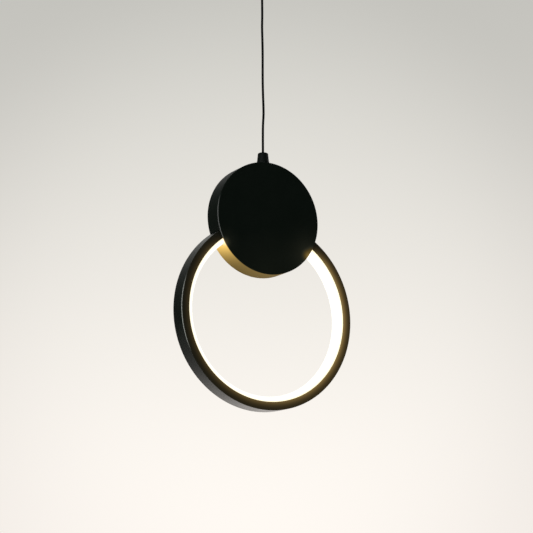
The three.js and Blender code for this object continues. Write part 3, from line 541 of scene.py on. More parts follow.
class Recipe(Nodes):
    """A material in the making: a node tree round one shader, and the place on the object in metres."""

    def __init__(self, name: str) -> None:
        """Starts the material with a shader joined to its output."""
        self.material = bpy.data.materials.new(name)
        self.material.use_nodes = True
        super().__init__(self.material.node_tree)
        self.shader = self.node("BsdfPrincipled")
        self.output = self.node("OutputMaterial", {0: self.shader.outputs[0]})
        self.where = self.node("TexCoord").outputs["Object"]

    def noise(self, size: float, detail: float = 2, spread: Place = (1, 1, 1)) -> Socket:
        """Soft irregular clouds, from 0 to 1 round a half.

        Args:
            size: How wide one cloud is.
            detail: How many finer layers they hold.
            spread: How much finer they are along X, Y and Z.

        Returns:
            Their strength.
        """
        scaled = self.node("Mapping", {"Vector": self.where, "Scale": spread}).outputs[0]
        return self.node("TexNoise", {"Vector": scaled, "Scale": 1 / size, "Detail": detail}).outputs["Fac"]

    def depth(self) -> Socket:
        """The place along Y."""
        return self.node("SeparateXYZ", {0: self.where}).outputs[1]

    def flat(self, centre: Place) -> Socket:
        """The way from a point to the place, without its depth."""
        away = self.vector("SUBTRACT", self.where, centre)
        return self.vector("MULTIPLY", away, (1, 0, 1))

    def radius_round(self, centre: Place) -> Socket:
        """How far the place lies from the line through a point along the depth."""
        return self.vector("LENGTH", self.flat(centre), result="Value")

    def side(self, centre: Place, side: Place) -> Socket:
        """How far the place lies towards one side of a point, from -1 to 1, at any distance and depth."""
        return self.cosine(self.vector("NORMALIZE", self.flat(centre)), side)

    def relief(self, height: Socket, depth: float) -> Socket:
        """The normal of a fine relief of a given depth."""
        return self.node("Bump", {"Height": height, "Strength": 1.0, "Distance": depth}).outputs[0]

    def dress(self, **sockets: Value) -> bpy.types.Material:
        """Fills the shader's sockets, whose spaces are written as underscores.

        Args:
            sockets: What goes into each.

        Returns:
            The material.
        """
        for name, value in sockets.items():
            self.put(self.shader.inputs[name.replace("_", " ")], value)
        return self.material


@dataclass(frozen=True, kw_only=True)
class Spill(ABC):
    """Warm light that the lit ring casts on the paint near it.

    It rises from a far radius, measured from the ring's axis, to a near one, as a power of the share
    between.
    """

    centre: Place
    far_radius: float
    near_radius: float
    far_strength: float
    near_strength: float
    power: float
    colour: Colour
    housing: Place
    dulled: float

    @abstractmethod
    def mask(self, recipe: Recipe) -> Socket:
        """Where the light falls, from 0 to 1."""

    def strength(self, recipe: Recipe) -> Socket:
        """How strong the light is.

        Args:
            recipe: The material that it is part of.

        Returns:
            Its strength at the recipe's place.
        """
        share = recipe.line(recipe.radius_round(self.centre), self.far_radius, self.near_radius)
        curve = recipe.sum("POWER", share, self.power)
        rise = recipe.product(curve, self.near_strength - self.far_strength)
        return recipe.product(recipe.sum("ADD", rise, self.far_strength), self.mask(recipe))

    def hue(self, recipe: Recipe, strength: Socket) -> Value:
        """The light's colour where it has a strength: the same everywhere."""
        return self.colour

    def dulling(self, recipe: Recipe) -> Value:
        """What is added to the paint's roughness, since the light hides its mirror images."""
        return recipe.product(self.mask(recipe), self.dulled)


@dataclass(frozen=True, kw_only=True)
class FlangeSpill(Spill):
    """The same light, kept to the faces of the ring's flanges.

    It is strongest on one side of the ring, and fades towards the housing.
    """

    half_depth: float
    face_from: float = 0.0004
    face_to: float = 0.0001
    bright_side: Place = RIGHT
    dim_share: float = 0.19
    bright_share: float = 1.0
    shade_from: float = 0.060
    shade_to: float = 0.082
    shade_share: float = 0.08
    dulled: float = 0.2

    def mask(self, recipe: Recipe) -> Socket:
        """1 on the two flange faces, 0 on the ring's walls."""
        away = recipe.sum("ABSOLUTE", recipe.sum("SUBTRACT", recipe.depth(), self.centre[1]))
        return recipe.line(away, self.half_depth - self.face_from, self.half_depth - self.face_to)

    def strength(self, recipe: Recipe) -> Socket:
        """How strong the light is: nothing on the ring's outer wall.

        Args:
            recipe: The material that it is part of.

        Returns:
            Its strength at the recipe's place.
        """
        side = recipe.side(self.centre, self.bright_side)
        side = recipe.line(side, -1, 1, self.dim_share, self.bright_share)
        beside = recipe.radius_round(self.housing)
        shade = recipe.line(beside, self.shade_from, self.shade_to, self.shade_share, 1)
        return recipe.product(super().strength(recipe), side, shade)


@dataclass(frozen=True)
class Bloom:
    """A glow round one place, which falls to nothing at its reach."""

    place: Place
    reach: float
    strength: float
    power: float


@dataclass(frozen=True, kw_only=True)
class WallSpill(Spill):
    """The same light, kept to the housing's wall inside the ring.

    Where the diffuser passes behind the face's edge, its blooms reach over the face. The faintest and the
    strongest light are paler than the rest.
    """

    wall_radius: float
    front_edge: float
    rear_edge: float
    blooms: tuple[Bloom, ...]
    haze: Colour = (1.0, 0.95, 0.6)
    haze_range: Pair = (0.008, 0.05)
    glare: Colour = (1.0, 0.85, 0.62)
    glare_range: Pair = (1.0, 1.5)
    wall_from: float = 0.0006
    wall_to: float = 0.0001
    lip_width: float = 0.001
    edge_range: Pair = (0.0005, 0.0015)
    rear_share: float = 0.68
    dulled: float = 0.35

    def mask(self, recipe: Recipe) -> Socket:
        """1 on the wall inside the ring, 0 elsewhere.

        Args:
            recipe: The material that it is part of.

        Returns:
            The mask at the recipe's place.
        """
        start, end = self.wall_radius - self.wall_from, self.wall_radius - self.wall_to
        wall = recipe.line(recipe.radius_round(self.housing), start, end)
        away = recipe.radius_round(self.centre)
        return recipe.product(wall, recipe.line(away, self.near_radius + self.lip_width, self.near_radius))

    def bloom(self, recipe: Recipe) -> Value:
        """The light that the diffuser's ends throw round the places where they pass behind the face.

        Args:
            recipe: The material that it is part of.

        Returns:
            Its strength at the recipe's place.
        """
        total: Value = 0.0
        for bloom in self.blooms:
            apart = recipe.vector("DISTANCE", recipe.where, bloom.place, result="Value")
            curve = recipe.sum("POWER", recipe.line(apart, bloom.reach, 0), bloom.power)
            total = recipe.sum("ADD", recipe.product(curve, bloom.strength), total)
        return total

    def strength(self, recipe: Recipe) -> Socket:
        """How strong the light is: it sets in behind the face's edge and falls towards the rear.

        Args:
            recipe: The material that it is part of.

        Returns:
            Its strength at the recipe's place.
        """
        depth = recipe.depth()
        edge = recipe.line(depth, *(self.front_edge + behind for behind in self.edge_range))
        fall = recipe.line(depth, self.front_edge, self.rear_edge, 1, self.rear_share)
        return recipe.sum("ADD", recipe.product(super().strength(recipe), edge, fall), self.bloom(recipe))

    def hue(self, recipe: Recipe, strength: Socket) -> Socket:
        """The light's colour where it has a strength: the haze's, its own, or the glare's."""
        warm = recipe.blend(recipe.line(strength, *self.haze_range), self.haze, self.colour)
        return recipe.blend(recipe.line(strength, *self.glare_range), warm, self.glare)


@dataclass(frozen=True, kw_only=True)
class PaintedEdgeHighlight:
    """Painted highlight: a thin, paler band of colour along a round front edge, only on the one side where
    the light catches it.
    """

    centre: Place
    radius: float
    front: float
    colour: Colour
    side: Place
    side_range: Pair
    width: float = 0.0007
    highlight_core_share: float = 0.6

    def share(self, recipe: Recipe) -> Value:
        """How strongly the painted highlight lies on the place, by the sum of its distances inwards of the
        wall and behind the face, and by how far it lies towards the lit side.

        Args:
            recipe: The material that it is part of.

        Returns:
            The share of the painted highlight's colour.
        """
        inwards = recipe.sum("SUBTRACT", self.radius, recipe.radius_round(self.centre))
        behind = recipe.sum("SUBTRACT", recipe.depth(), self.front)
        near = recipe.line(recipe.sum("ADD", inwards, behind), self.width, self.highlight_core_share * self.width)
        return recipe.product(near, recipe.ramp(recipe.side(self.centre, self.side), *self.side_range))


@dataclass(frozen=True)
class PowderCoat:
    """Satin black powder coat: a cloudy near-black with a fine pebbled grain and an uneven gloss."""

    name: str = "satin_black_powder_coat"
    dark: Colour = (0.0010, 0.0042, 0.0018)
    pale: Colour = (0.0021, 0.0057, 0.0030)
    gloss: Pair = (0.42, 0.5)
    specular: float = 0.5
    cloud: float = 0.018
    grain: float = 0.00035
    grain_depth: float = 0.000012
    spill: Spill | None = None
    # A painted highlight along one front edge, where given.
    edge: PaintedEdgeHighlight | None = None

    def material(self) -> bpy.types.Material:
        """Builds the material.

        Returns:
            The paint.
        """
        recipe = Recipe(self.name)
        clouds = recipe.noise(self.cloud, detail=4)
        paint = recipe.blend(clouds, self.dark, self.pale)
        roughness = recipe.ramp(clouds, *CLOUD_RANGE, *self.gloss)
        # Painted highlight: the paint turns paler along the front edge on the lit side.
        if self.edge:
            paint = recipe.blend(self.edge.share(recipe), paint, self.edge.colour)
        if self.spill:
            roughness = recipe.sum("ADD", roughness, self.spill.dulling(recipe))
            strength = self.spill.strength(recipe)
            recipe.dress(Emission_Color=self.spill.hue(recipe, strength), Emission_Strength=strength)
        return recipe.dress(
            Base_Color=paint,
            Roughness=roughness,
            Specular_IOR_Level=self.specular,
            Normal=recipe.relief(recipe.noise(self.grain, detail=1), self.grain_depth),
        )


@dataclass(frozen=True)
class PlainFinish:
    """What the unpainted finishes share: a cloudy colour, an uneven gloss and a fine relief.

    The clouds' dark tone is a share of the colour, where it isn't given.
    """

    name: str
    colour: Colour
    gloss: Pair
    dark: Colour | None = None
    shade: float = 0.82
    specular: float = 0.5
    metallic: float = 0.0
    cloud: float = 0.012
    cloud_detail: float = 3
    grain: float = 0.00022
    grain_detail: float = 1
    grain_spread: Place = (1, 1, 1)
    grain_depth: float = 0.000008
    gloss_range: Pair = CLOUD_RANGE
    gloss_from_grain: bool = False

    def material(self) -> bpy.types.Material:
        """Builds the material.

        Returns:
            The material.
        """
        recipe = Recipe(self.name)
        clouds = recipe.noise(self.cloud, self.cloud_detail)
        grain = recipe.noise(self.grain, self.grain_detail, self.grain_spread)
        uneven = grain if self.gloss_from_grain else clouds
        return recipe.dress(
            Base_Color=recipe.blend(clouds, self.dark or shaded(self.colour, self.shade), self.colour),
            Metallic=self.metallic,
            Roughness=recipe.ramp(uneven, *self.gloss_range, *self.gloss),
            Specular_IOR_Level=self.specular,
            Normal=recipe.relief(grain, self.grain_depth),
        )


class Moulding(PlainFinish):
    """Moulded plastic or rubber: an even colour with a slight cloud and a fine eroded texture."""


@dataclass(frozen=True)
class ExtrudedJacket(PlainFinish):
    """Extruded cable jacket: matt, with faint lines drawn along the cable."""

    shade: float = 0.7
    cloud: float = 0.02
    grain: float = 0.00045
    grain_spread: Place = (1, 1, 0.02)
    grain_depth: float = 0.000006
    gloss_from_grain: bool = True


@dataclass(frozen=True)
class PlatedMetal(PlainFinish):
    """Plated or plain metal: a bright skin with drawn streaks and slightly duller patches."""

    gloss: Pair = (0.24, 0.42)
    metallic: float = 1.0
    cloud: float = 0.004
    cloud_detail: float = 5
    grain: float = 0.0003
    grain_detail: float = 2
    grain_spread: Place = (0.08, 1, 1)
    grain_depth: float = 0.000003
    gloss_range: Pair = (0.35, 0.65)


@dataclass(frozen=True)
class LitDiffuser:
    """Milky diffuser lit from inside: brightest on its crown, dimmer and warmer beside the flanges.

    Seen at a flat angle, it is dimmer too.
    """

    centre: Place
    crown_radius: float
    edge_radius: float
    name: str = "lit_milky_diffuser"
    milk: Colour = (0.5, 0.495, 0.475)
    shade: float = 0.97
    light: Colour = (1.0, 0.97, 0.86)
    fringe: Colour = (1.0, 0.87, 0.5)
    fringe_width: float = 0.0028
    strength: float = 1.7
    edge_share: float = 0.68
    graze: float = 0.65
    roughness: float = 0.45
    cloud: float = 0.03
    grain: float = 0.0004
    grain_depth: float = 0.000004

    def material(self) -> bpy.types.Material:
        """Builds the material.

        Returns:
            The lit plastic.
        """
        recipe = Recipe(self.name)
        away = recipe.radius_round(self.centre)
        edge_strength = self.edge_share * self.strength
        lit = recipe.ramp(away, self.edge_radius, self.crown_radius, edge_strength, self.strength)
        grazing = recipe.node("LayerWeight").outputs["Facing"]
        seen = recipe.line(grazing, 0, 1, 1, 1 - self.graze)
        clear = recipe.line(away, self.edge_radius, self.edge_radius - self.fringe_width)
        clouds = recipe.noise(self.cloud, detail=2)
        return recipe.dress(
            Base_Color=recipe.blend(clouds, shaded(self.milk, self.shade), self.milk),
            Roughness=self.roughness,
            Normal=recipe.relief(recipe.noise(self.grain, detail=1), self.grain_depth),
            Emission_Color=recipe.blend(clear, self.fringe, self.light),
            Emission_Strength=recipe.product(lit, seen),
        )


@dataclass(frozen=True)
class Datum:
    """Places that several sub-assemblies share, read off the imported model."""

    canopy_radius: float
    canopy_rim: float
    canopy_bottom: float
    grip_tip: float
    gland_base: float
    gland_top: float
    disc_radius: float
    disc_front: float
    disc_back: float
    disc_centre: Place
    ring_radius: float
    ring_half: float
    ring_centre: Place

    @classmethod
    def from_frame(cls) -> "Datum":
        """Reads the places from the boxes of the nodes.

        Returns:
            The shared places.
        """
        canopy_low, canopy_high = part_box("canopy_cover")
        front_low, front_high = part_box("front_housing")
        cover_low, cover_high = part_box("rear_cover")
        ring_low, ring_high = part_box("ring_channel")
        disc_radius = (cover_high.x - cover_low.x) / 2
        _, ring_y, ring_z = middle_of("ring_channel")
        return cls(
            canopy_radius=(canopy_high.x - canopy_low.x) / 2,
            canopy_rim=canopy_high.z,
            canopy_bottom=canopy_low.z,
            grip_tip=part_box("canopy_grip")[0].z,
            gland_base=front_high.z + SEAT,
            gland_top=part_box("lamp_gland")[1].z,
            disc_radius=disc_radius,
            disc_front=front_low.y,
            disc_back=cover_high.y,
            disc_centre=(0, 0, front_high.z - disc_radius),
            ring_radius=(ring_high.x - ring_low.x) / 2,
            ring_half=(ring_high.y - ring_low.y) / 2,
            ring_centre=(0, ring_y, ring_z),
        )

    def on_ring(self, angle: float, radius: float) -> Place:
        """A place at an angle clockwise from the ring's top, half way through its depth."""
        _, y, z = self.ring_centre
        return (radius * math.sin(angle), y, z + radius * math.cos(angle))

    def on_rim(self, angle: float) -> Place:
        """The place on the housing's front rim at an angle clockwise from its top."""
        x, z = self.disc_radius * math.sin(angle), self.disc_radius * math.cos(angle)
        return (x, self.disc_front, self.disc_centre[2] + z)


class Workbench:
    """Makes finished pieces: it holds the finishes and puts each piece on its body."""

    copy_weld = 1e-6
    flat_angle = math.radians(1)
    bevel_angle = math.radians(40)
    nut_chamfer = math.radians(30)
    nut_chamfer_share = 1.03

    def __init__(self, finishes: dict[Slot, bpy.types.Material]) -> None:
        """Keeps the finishes, by the record's slots."""
        self.finishes = finishes

    def piece(
        self,
        name: str,
        shape: Surface | bpy.types.Mesh,
        node: str,
        slot: Slot,
        body: Body = Body.LAMP,
        cutters: tuple[Surface, ...] = (),
        beside: Surface | None = None,
        finish: bpy.types.Material | None = None,
    ) -> bpy.types.Object:
        """Makes and dresses one piece, rides it on its body and hides the node that it stands for.

        Args:
            name: The piece's name.
            shape: Its closed surface or its mesh.
            node: The node that it stands for.
            slot: The record's slot that its finish belongs to.
            body: The body that it rides on.
            cutters: What is taken out of it.
            beside: What is added to it after that.
            finish: Its own finish, where it isn't the slot's.

        Returns:
            The finished piece.
        """
        made = placed(name, mesh_of(name, shape) if isinstance(shape, Surface) else shape)
        if cutters:
            carve(made, cutters)
        if beside:
            add_beside(made, beside)
        made.data.materials.clear()
        made.data.materials.append(finish or self.finishes[slot])
        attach(made, body.value)
        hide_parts(node)
        LOG.info("%s: %d faces for %s", made.name, len(made.data.polygons), node)
        return made

    def eased(self, node: str, slot: Slot, width: float, body: Body = Body.LAMP) -> None:
        """Makes a merged copy of a node with its edges eased by a narrow bevel.

        Args:
            node: The node that is copied.
            slot: The record's slot of its finish.
            width: How wide the bevel is.
            body: The body that it rides on.
        """
        mesh = frame["nodes"][node].data.copy()
        with edited(mesh) as work:
            bmesh.ops.remove_doubles(work, verts=work.verts, dist=self.copy_weld)
            bmesh.ops.dissolve_limit(work, angle_limit=self.flat_angle, verts=work.verts, edges=work.edges)
        shade_smooth(mesh)
        made = self.piece(node + "_eased", mesh, node, slot, body)
        bevel = made.modifiers.new("eased edges", "BEVEL")
        bevel.width = width
        bevel.segments = 2
        bevel.limit_method = "ANGLE"
        bevel.angle_limit = self.bevel_angle
        bevel.use_clamp_overlap = True
        bevel.harden_normals = True

    def nut(self, node: str, flats: float, bore: float, body: Body = Body.LAMP) -> None:
        """Makes a hexagonal nut with chamfered corners.

        Round the axis its radius is half the width across flats over the cosine of the angle from the
        nearest flat's middle. Where it is beyond the chamfer's circle, top and bottom fall away evenly.

        Args:
            node: The node that it stands for.
            flats: Its width across flats.
            bore: The radius of its bore.
            body: The body that it rides on.
        """
        low, high = (corner.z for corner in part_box(node))
        angle = angles(144)
        nearest = (angle + math.pi / 6) % (math.pi / 3) - math.pi / 6
        hexagon = flats / 2 / np.cos(nearest)
        circle = np.minimum(hexagon, flats / 2 * self.nut_chamfer_share)
        fall = (hexagon - circle) * math.tan(self.nut_chamfer)
        half = [(bore, low + EASE), (bore + EASE, low), (circle, low), (hexagon, low + fall)]
        rows = half + [(radius, low + high - height) for radius, height in half[::-1]]
        grid = np.array([polar(radius, angle, height) for radius, height in rows])
        x, y, _ = middle_of(node)
        surface = woven(grid, rows_close=True).moved((x, y, 0))
        self.piece(node + "_chamfered", surface, node, Slot.ZINC_PLATE, body)


@dataclass(frozen=True)
class SubAssembly:
    """A group of pieces, made on the workbench at the shared places."""

    bench: Workbench
    datum: Datum


@dataclass(frozen=True)
class ScrewSize:
    """A cross-head screw: radii of head and shank, their lengths, and the shares that shape its ends."""

    head: float
    height: float
    shank: float
    length: float
    sunk: bool = False
    point_share: float = 0.3
    crown_share: float = 0.62
    crown_round_share: float = 0.9
    flat_share: float = 0.42
    flat_round_share: float = 0.5
    cross_depth_share: float = 0.6
    cross_reach_share: float = 0.62
    cross_width_share: float = 0.13
    cross_taper_share: float = 0.6

    def surface(self) -> Surface:
        """The screw along Z, with the head's underside at 0, or its flush top where it is sunk.

        Its outline is turned about Z: the shank with a chamfered point, and a crowned or a conical head.

        Returns:
            The screw without its cross.
        """
        foot, point = -self.length, self.shank * self.point_share
        crown = self.height * self.crown_share
        shaft = [(0, foot, 0), (self.shank - point, foot, 0), (self.shank, foot + point, 0)]
        head = [
            (self.shank, 0, 0),
            (self.head, 0, FINE),
            (self.head, crown, crown * self.crown_round_share),
            (self.head * self.flat_share, self.height, self.head * self.flat_round_share),
            (0, self.height, 0),
        ]
        if self.sunk:
            head = [(self.shank, -self.height, 0), (self.head, -FINE, 0), (self.head, 0, HAIR), (0, 0, 0)]
        return turned(rounded(shaft + head, steps=5), Axis.HEIGHT, segments=40)

    def recess(self) -> tuple[Surface, Surface]:
        """The cross in its head.

        Returns:
            Its two arms, as tapered blocks.
        """
        top = 0 if self.sunk else self.height
        ends = (top + OVERRUN, top - self.height * self.cross_depth_share)
        arm = (self.head * self.cross_reach_share, self.head * self.cross_width_share)
        foot = tuple(size * self.cross_taper_share for size in arm)
        return tapered_block(arm, foot, *ends), tapered_block(arm[::-1], foot[::-1], *ends)


@dataclass(frozen=True)
class Cords(SubAssembly):
    """The free cord from the stop ball to the lamp gland, and the lead above it in the canopy.

    The shares of the free cord give how far down a point lies and how far it bows to the side. Those of the
    lead give how far towards the terminal block and how far up.
    """

    diameter: float = 0.0025
    bow: float = 0.0009
    bow_shares: tuple[Pair, ...] = (
        *((0, 0), (0.08, 0), (0.19, 0.05), (0.25, -0.25), (0.32, 0.05), (0.39, 0.32), (0.55, 0.2)),
        *((0.62, 0.45), (0.69, 0.95), (0.74, 1.05), (0.80, 0.25), (0.86, 0), (0.95, 0), (1, 0)),
    )
    supply_shares: tuple[Pair, ...] = ((0, 0), (0.06, 0.4), (0.35, 0.85), (0.8, 1))
    cord_steps: int = 4
    lead_steps: int = 8

    def hang(self) -> None:
        low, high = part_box("cord")
        drop = high.z - low.z
        route = [(bow * self.bow, 0, high.z - way * drop) for way, bow in self.bow_shares]
        path = smooth_path(route, self.cord_steps)
        surface = tube(path, self.diameter / 2, BACK, sides=32)
        cord = self.bench.piece("round_cord", surface, "cord", Slot.CORD_JACKET, Body.CORD)
        length = float(np.linalg.norm(np.diff(path, axis=0), axis=1).sum())

    def feed(self) -> None:
        """Makes the lead from the canopy grip to the terminal block, in the plane x = 0."""
        low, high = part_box("supply_lead")
        block_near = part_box("terminal_block")[0].y
        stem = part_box("canopy_grip")[1].z
        entry = high.z - self.diameter / 2
        bend = [(0, across * block_near, stem + (entry - stem) * up) for across, up in self.supply_shares]
        path = smooth_path([(0, 0, low.z), *bend, (0, high.y, entry)], self.lead_steps)
        surface = tube(path, self.diameter / 2, RIGHT)
        self.bench.piece("canopy_lead", surface, "supply_lead", Slot.CORD_JACKET, Body.CEILING)


@dataclass(frozen=True)
class Canopy(SubAssembly):
    """Ceiling canopy: a drawn steel cup with its cord grip, washer, nut and the mounting bar inside."""

    wall: float = 0.0012
    edge_radius: float = 0.004
    stem_hole: float = 0.0063
    screw_hole: float = 0.0023
    screw_drop: float = 0.008
    grip_collar: float = 0.0018
    grip_step: float = 0.0006
    grip_base: float = 0.008
    grip_tip: float = 0.0067
    grip_tip_edge: float = 0.0008
    grip_stem: float = 0.006
    grip_mouth: float = 0.0056
    ball_radius: float = 0.004
    throat: float = 0.0035
    nut_flats: float = 0.017

    def make(self) -> None:
        """Makes the canopy's pieces."""
        metal, plastic, zinc = Slot.BLACK_METAL, Slot.BLACK_PLASTIC, Slot.ZINC_PLATE
        reach = 2 * self.datum.canopy_radius
        bore = rod((-reach, 0, -self.screw_drop), (reach, 0, -self.screw_drop), self.screw_hole)
        self.bench.piece("canopy_cup", self.cup(), "canopy_cover", metal, Body.CEILING, cutters=(bore,))
        self.bench.piece("cord_grip", self.grip(), "canopy_grip", plastic, Body.CEILING)
        self.bench.piece("stop_ball", self.ball(), "cord_stop_ball", zinc, Body.ANCHOR)
        self.bench.piece("flat_washer", self.washer(), "canopy_grip_washer", zinc, Body.CEILING)
        self.bench.nut("canopy_grip_nut", self.nut_flats, self.stem_hole, Body.CEILING)
        self.bench.eased("mounting_bar", zinc, FINE, Body.CEILING)
        self.bench.eased("terminal_block", Slot.WHITE_PLASTIC, EASE, Body.CEILING)

    def cup(self) -> Surface:
        """The cup: its outline runs along the outside from the stem hole to the rim and back inside.

        Returns:
            The cup without its screw holes.
        """
        radius, bottom, rim = self.datum.canopy_radius, self.datum.canopy_bottom, self.datum.canopy_rim
        inner = radius - self.wall
        outline = [
            (self.stem_hole, bottom, FINE),
            (radius, bottom, self.edge_radius),
            (radius, rim, SOFT),
            (inner, rim, SOFT),
            (inner, bottom + self.wall, self.edge_radius - self.wall),
            (self.stem_hole, bottom + self.wall, FINE),
        ]
        return turned(rounded(outline, steps=10), Axis.HEIGHT, segments=160)

    def grip(self) -> Surface:
        """The cord grip: a collar, a taper to the bell mouth, a stem through the canopy and the ball's seat.

        The seat is an arc about the ball's middle, from the stem's wall down to the throat.

        Returns:
            The grip.
        """
        top, tip = self.datum.canopy_bottom - SEAT, self.datum.grip_tip
        collar = top - self.grip_collar
        stem_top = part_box("canopy_grip")[1].z
        seat = self.ball_radius + SEAT
        ball_z = middle_of("cord_stop_ball")[2]
        fall = -np.linspace(0, math.acos(self.throat / seat), 13)
        outline = [
            (self.grip_mouth, tip, EASE),
            (self.grip_tip, tip, self.grip_tip_edge),
            (self.grip_base - self.grip_step, collar, SOFT),
            (self.grip_base, collar + SOFT, EASE),
            (self.grip_base, top, EASE),
            (self.grip_stem, top, HAIR),
            (self.grip_stem, stem_top, EASE),
            (seat, stem_top, EASE),
            *((seat * math.cos(angle), ball_z + seat * math.sin(angle), 0) for angle in fall),
        ]
        return turned(rounded(outline), Axis.HEIGHT)

    def ball(self) -> Surface:
        """The stop ball: radius times (sin p cos a, sin p sin a, cos p), with p from pole to pole."""
        pole = np.linspace(0, math.pi, 33)[:, None]
        grid = self.ball_radius * polar(np.sin(pole), angles(48), np.cos(pole))
        return woven(grid, rows_close=False).moved((0, 0, middle_of("cord_stop_ball")[2]))

    def washer(self) -> Surface:
        """The flat washer under the grip's nut, with eased edges.

        Returns:
            The washer.
        """
        low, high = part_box("canopy_grip_washer")
        inner, outer = self.stem_hole, high.x
        outline = [(inner, low.z, HAIR), (outer, low.z, FINE), (outer, high.z, FINE), (inner, high.z, HAIR)]
        return turned(rounded(outline, steps=3), Axis.HEIGHT, segments=72)


@dataclass(frozen=True)
class Gland(SubAssembly):
    """Tapered cord gland on top of the housing, with its grub screw and its nut."""

    base_radius: float = 0.0066
    top_radius: float = 0.0054
    top_drop: float = 0.0015
    edge_radius: float = 0.0013
    collar_height: float = 0.0034
    collar_step: float = 0.0003
    stem_radius: float = 0.0048
    stem_length: float = 0.009
    bore: float = 0.0016
    grub_hole: float = 0.0017
    grub_rise: float = 0.0077
    grub_reach: float = 0.012
    socket_depth: float = 0.0018
    nut_flats: float = 0.013

    def make(self) -> None:
        """Makes the gland, its nut and its grub screw."""
        grub_z = self.datum.gland_base + self.grub_rise
        hole = rod((0, 0, grub_z), (0, self.grub_reach, grub_z), self.grub_hole, UP)
        self.bench.piece("tapered_gland", self.body(), "lamp_gland", Slot.BLACK_PLASTIC, cutters=(hole,))
        self.bench.nut("gland_nut", self.nut_flats, self.stem_radius + SEAT)
        self.grub()

    def body(self) -> Surface:
        """The gland before it is drilled: a stem, a collar and a taper to its rounded top.

        Returns:
            The gland.
        """
        base, top = self.datum.gland_base, self.datum.gland_top - self.top_drop
        foot, collar = base - self.stem_length, base + self.collar_height
        outline = [
            (self.bore, foot, EASE),
            (self.stem_radius, foot, SOFT),
            (self.stem_radius, base, HAIR),
            (self.base_radius, base, CRISP),
            (self.base_radius, collar, TRIM),
            (self.base_radius - self.collar_step, collar, HAIR),
            (self.top_radius, top, self.edge_radius),
            (self.bore, top, SOFT),
        ]
        return turned(rounded(outline, steps=8), Axis.HEIGHT, segments=120)

    def grub(self) -> None:
        """Makes the grub screw: a chamfered plug with a hexagon socket in its rear end."""
        low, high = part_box("gland_set_screw")
        radius = (high.z - low.z) / 2
        z = middle_of("gland_set_screw")[2]
        outline = [(0, low.y, 0), (radius, low.y, EASE), (radius, high.y, EASE), (0, high.y, 0)]
        plug = turned(rounded(outline, steps=3), Axis.DEPTH, (0, 0, z), segments=36)
        floor, over = high.y - self.socket_depth, high.y + OVERRUN
        socket = rod((0, floor, z), (0, over, z), radius / 2, UP, sides=6)
        self.bench.piece("grub_screw", plug, "gland_set_screw", Slot.ZINC_PLATE, cutters=(socket,))


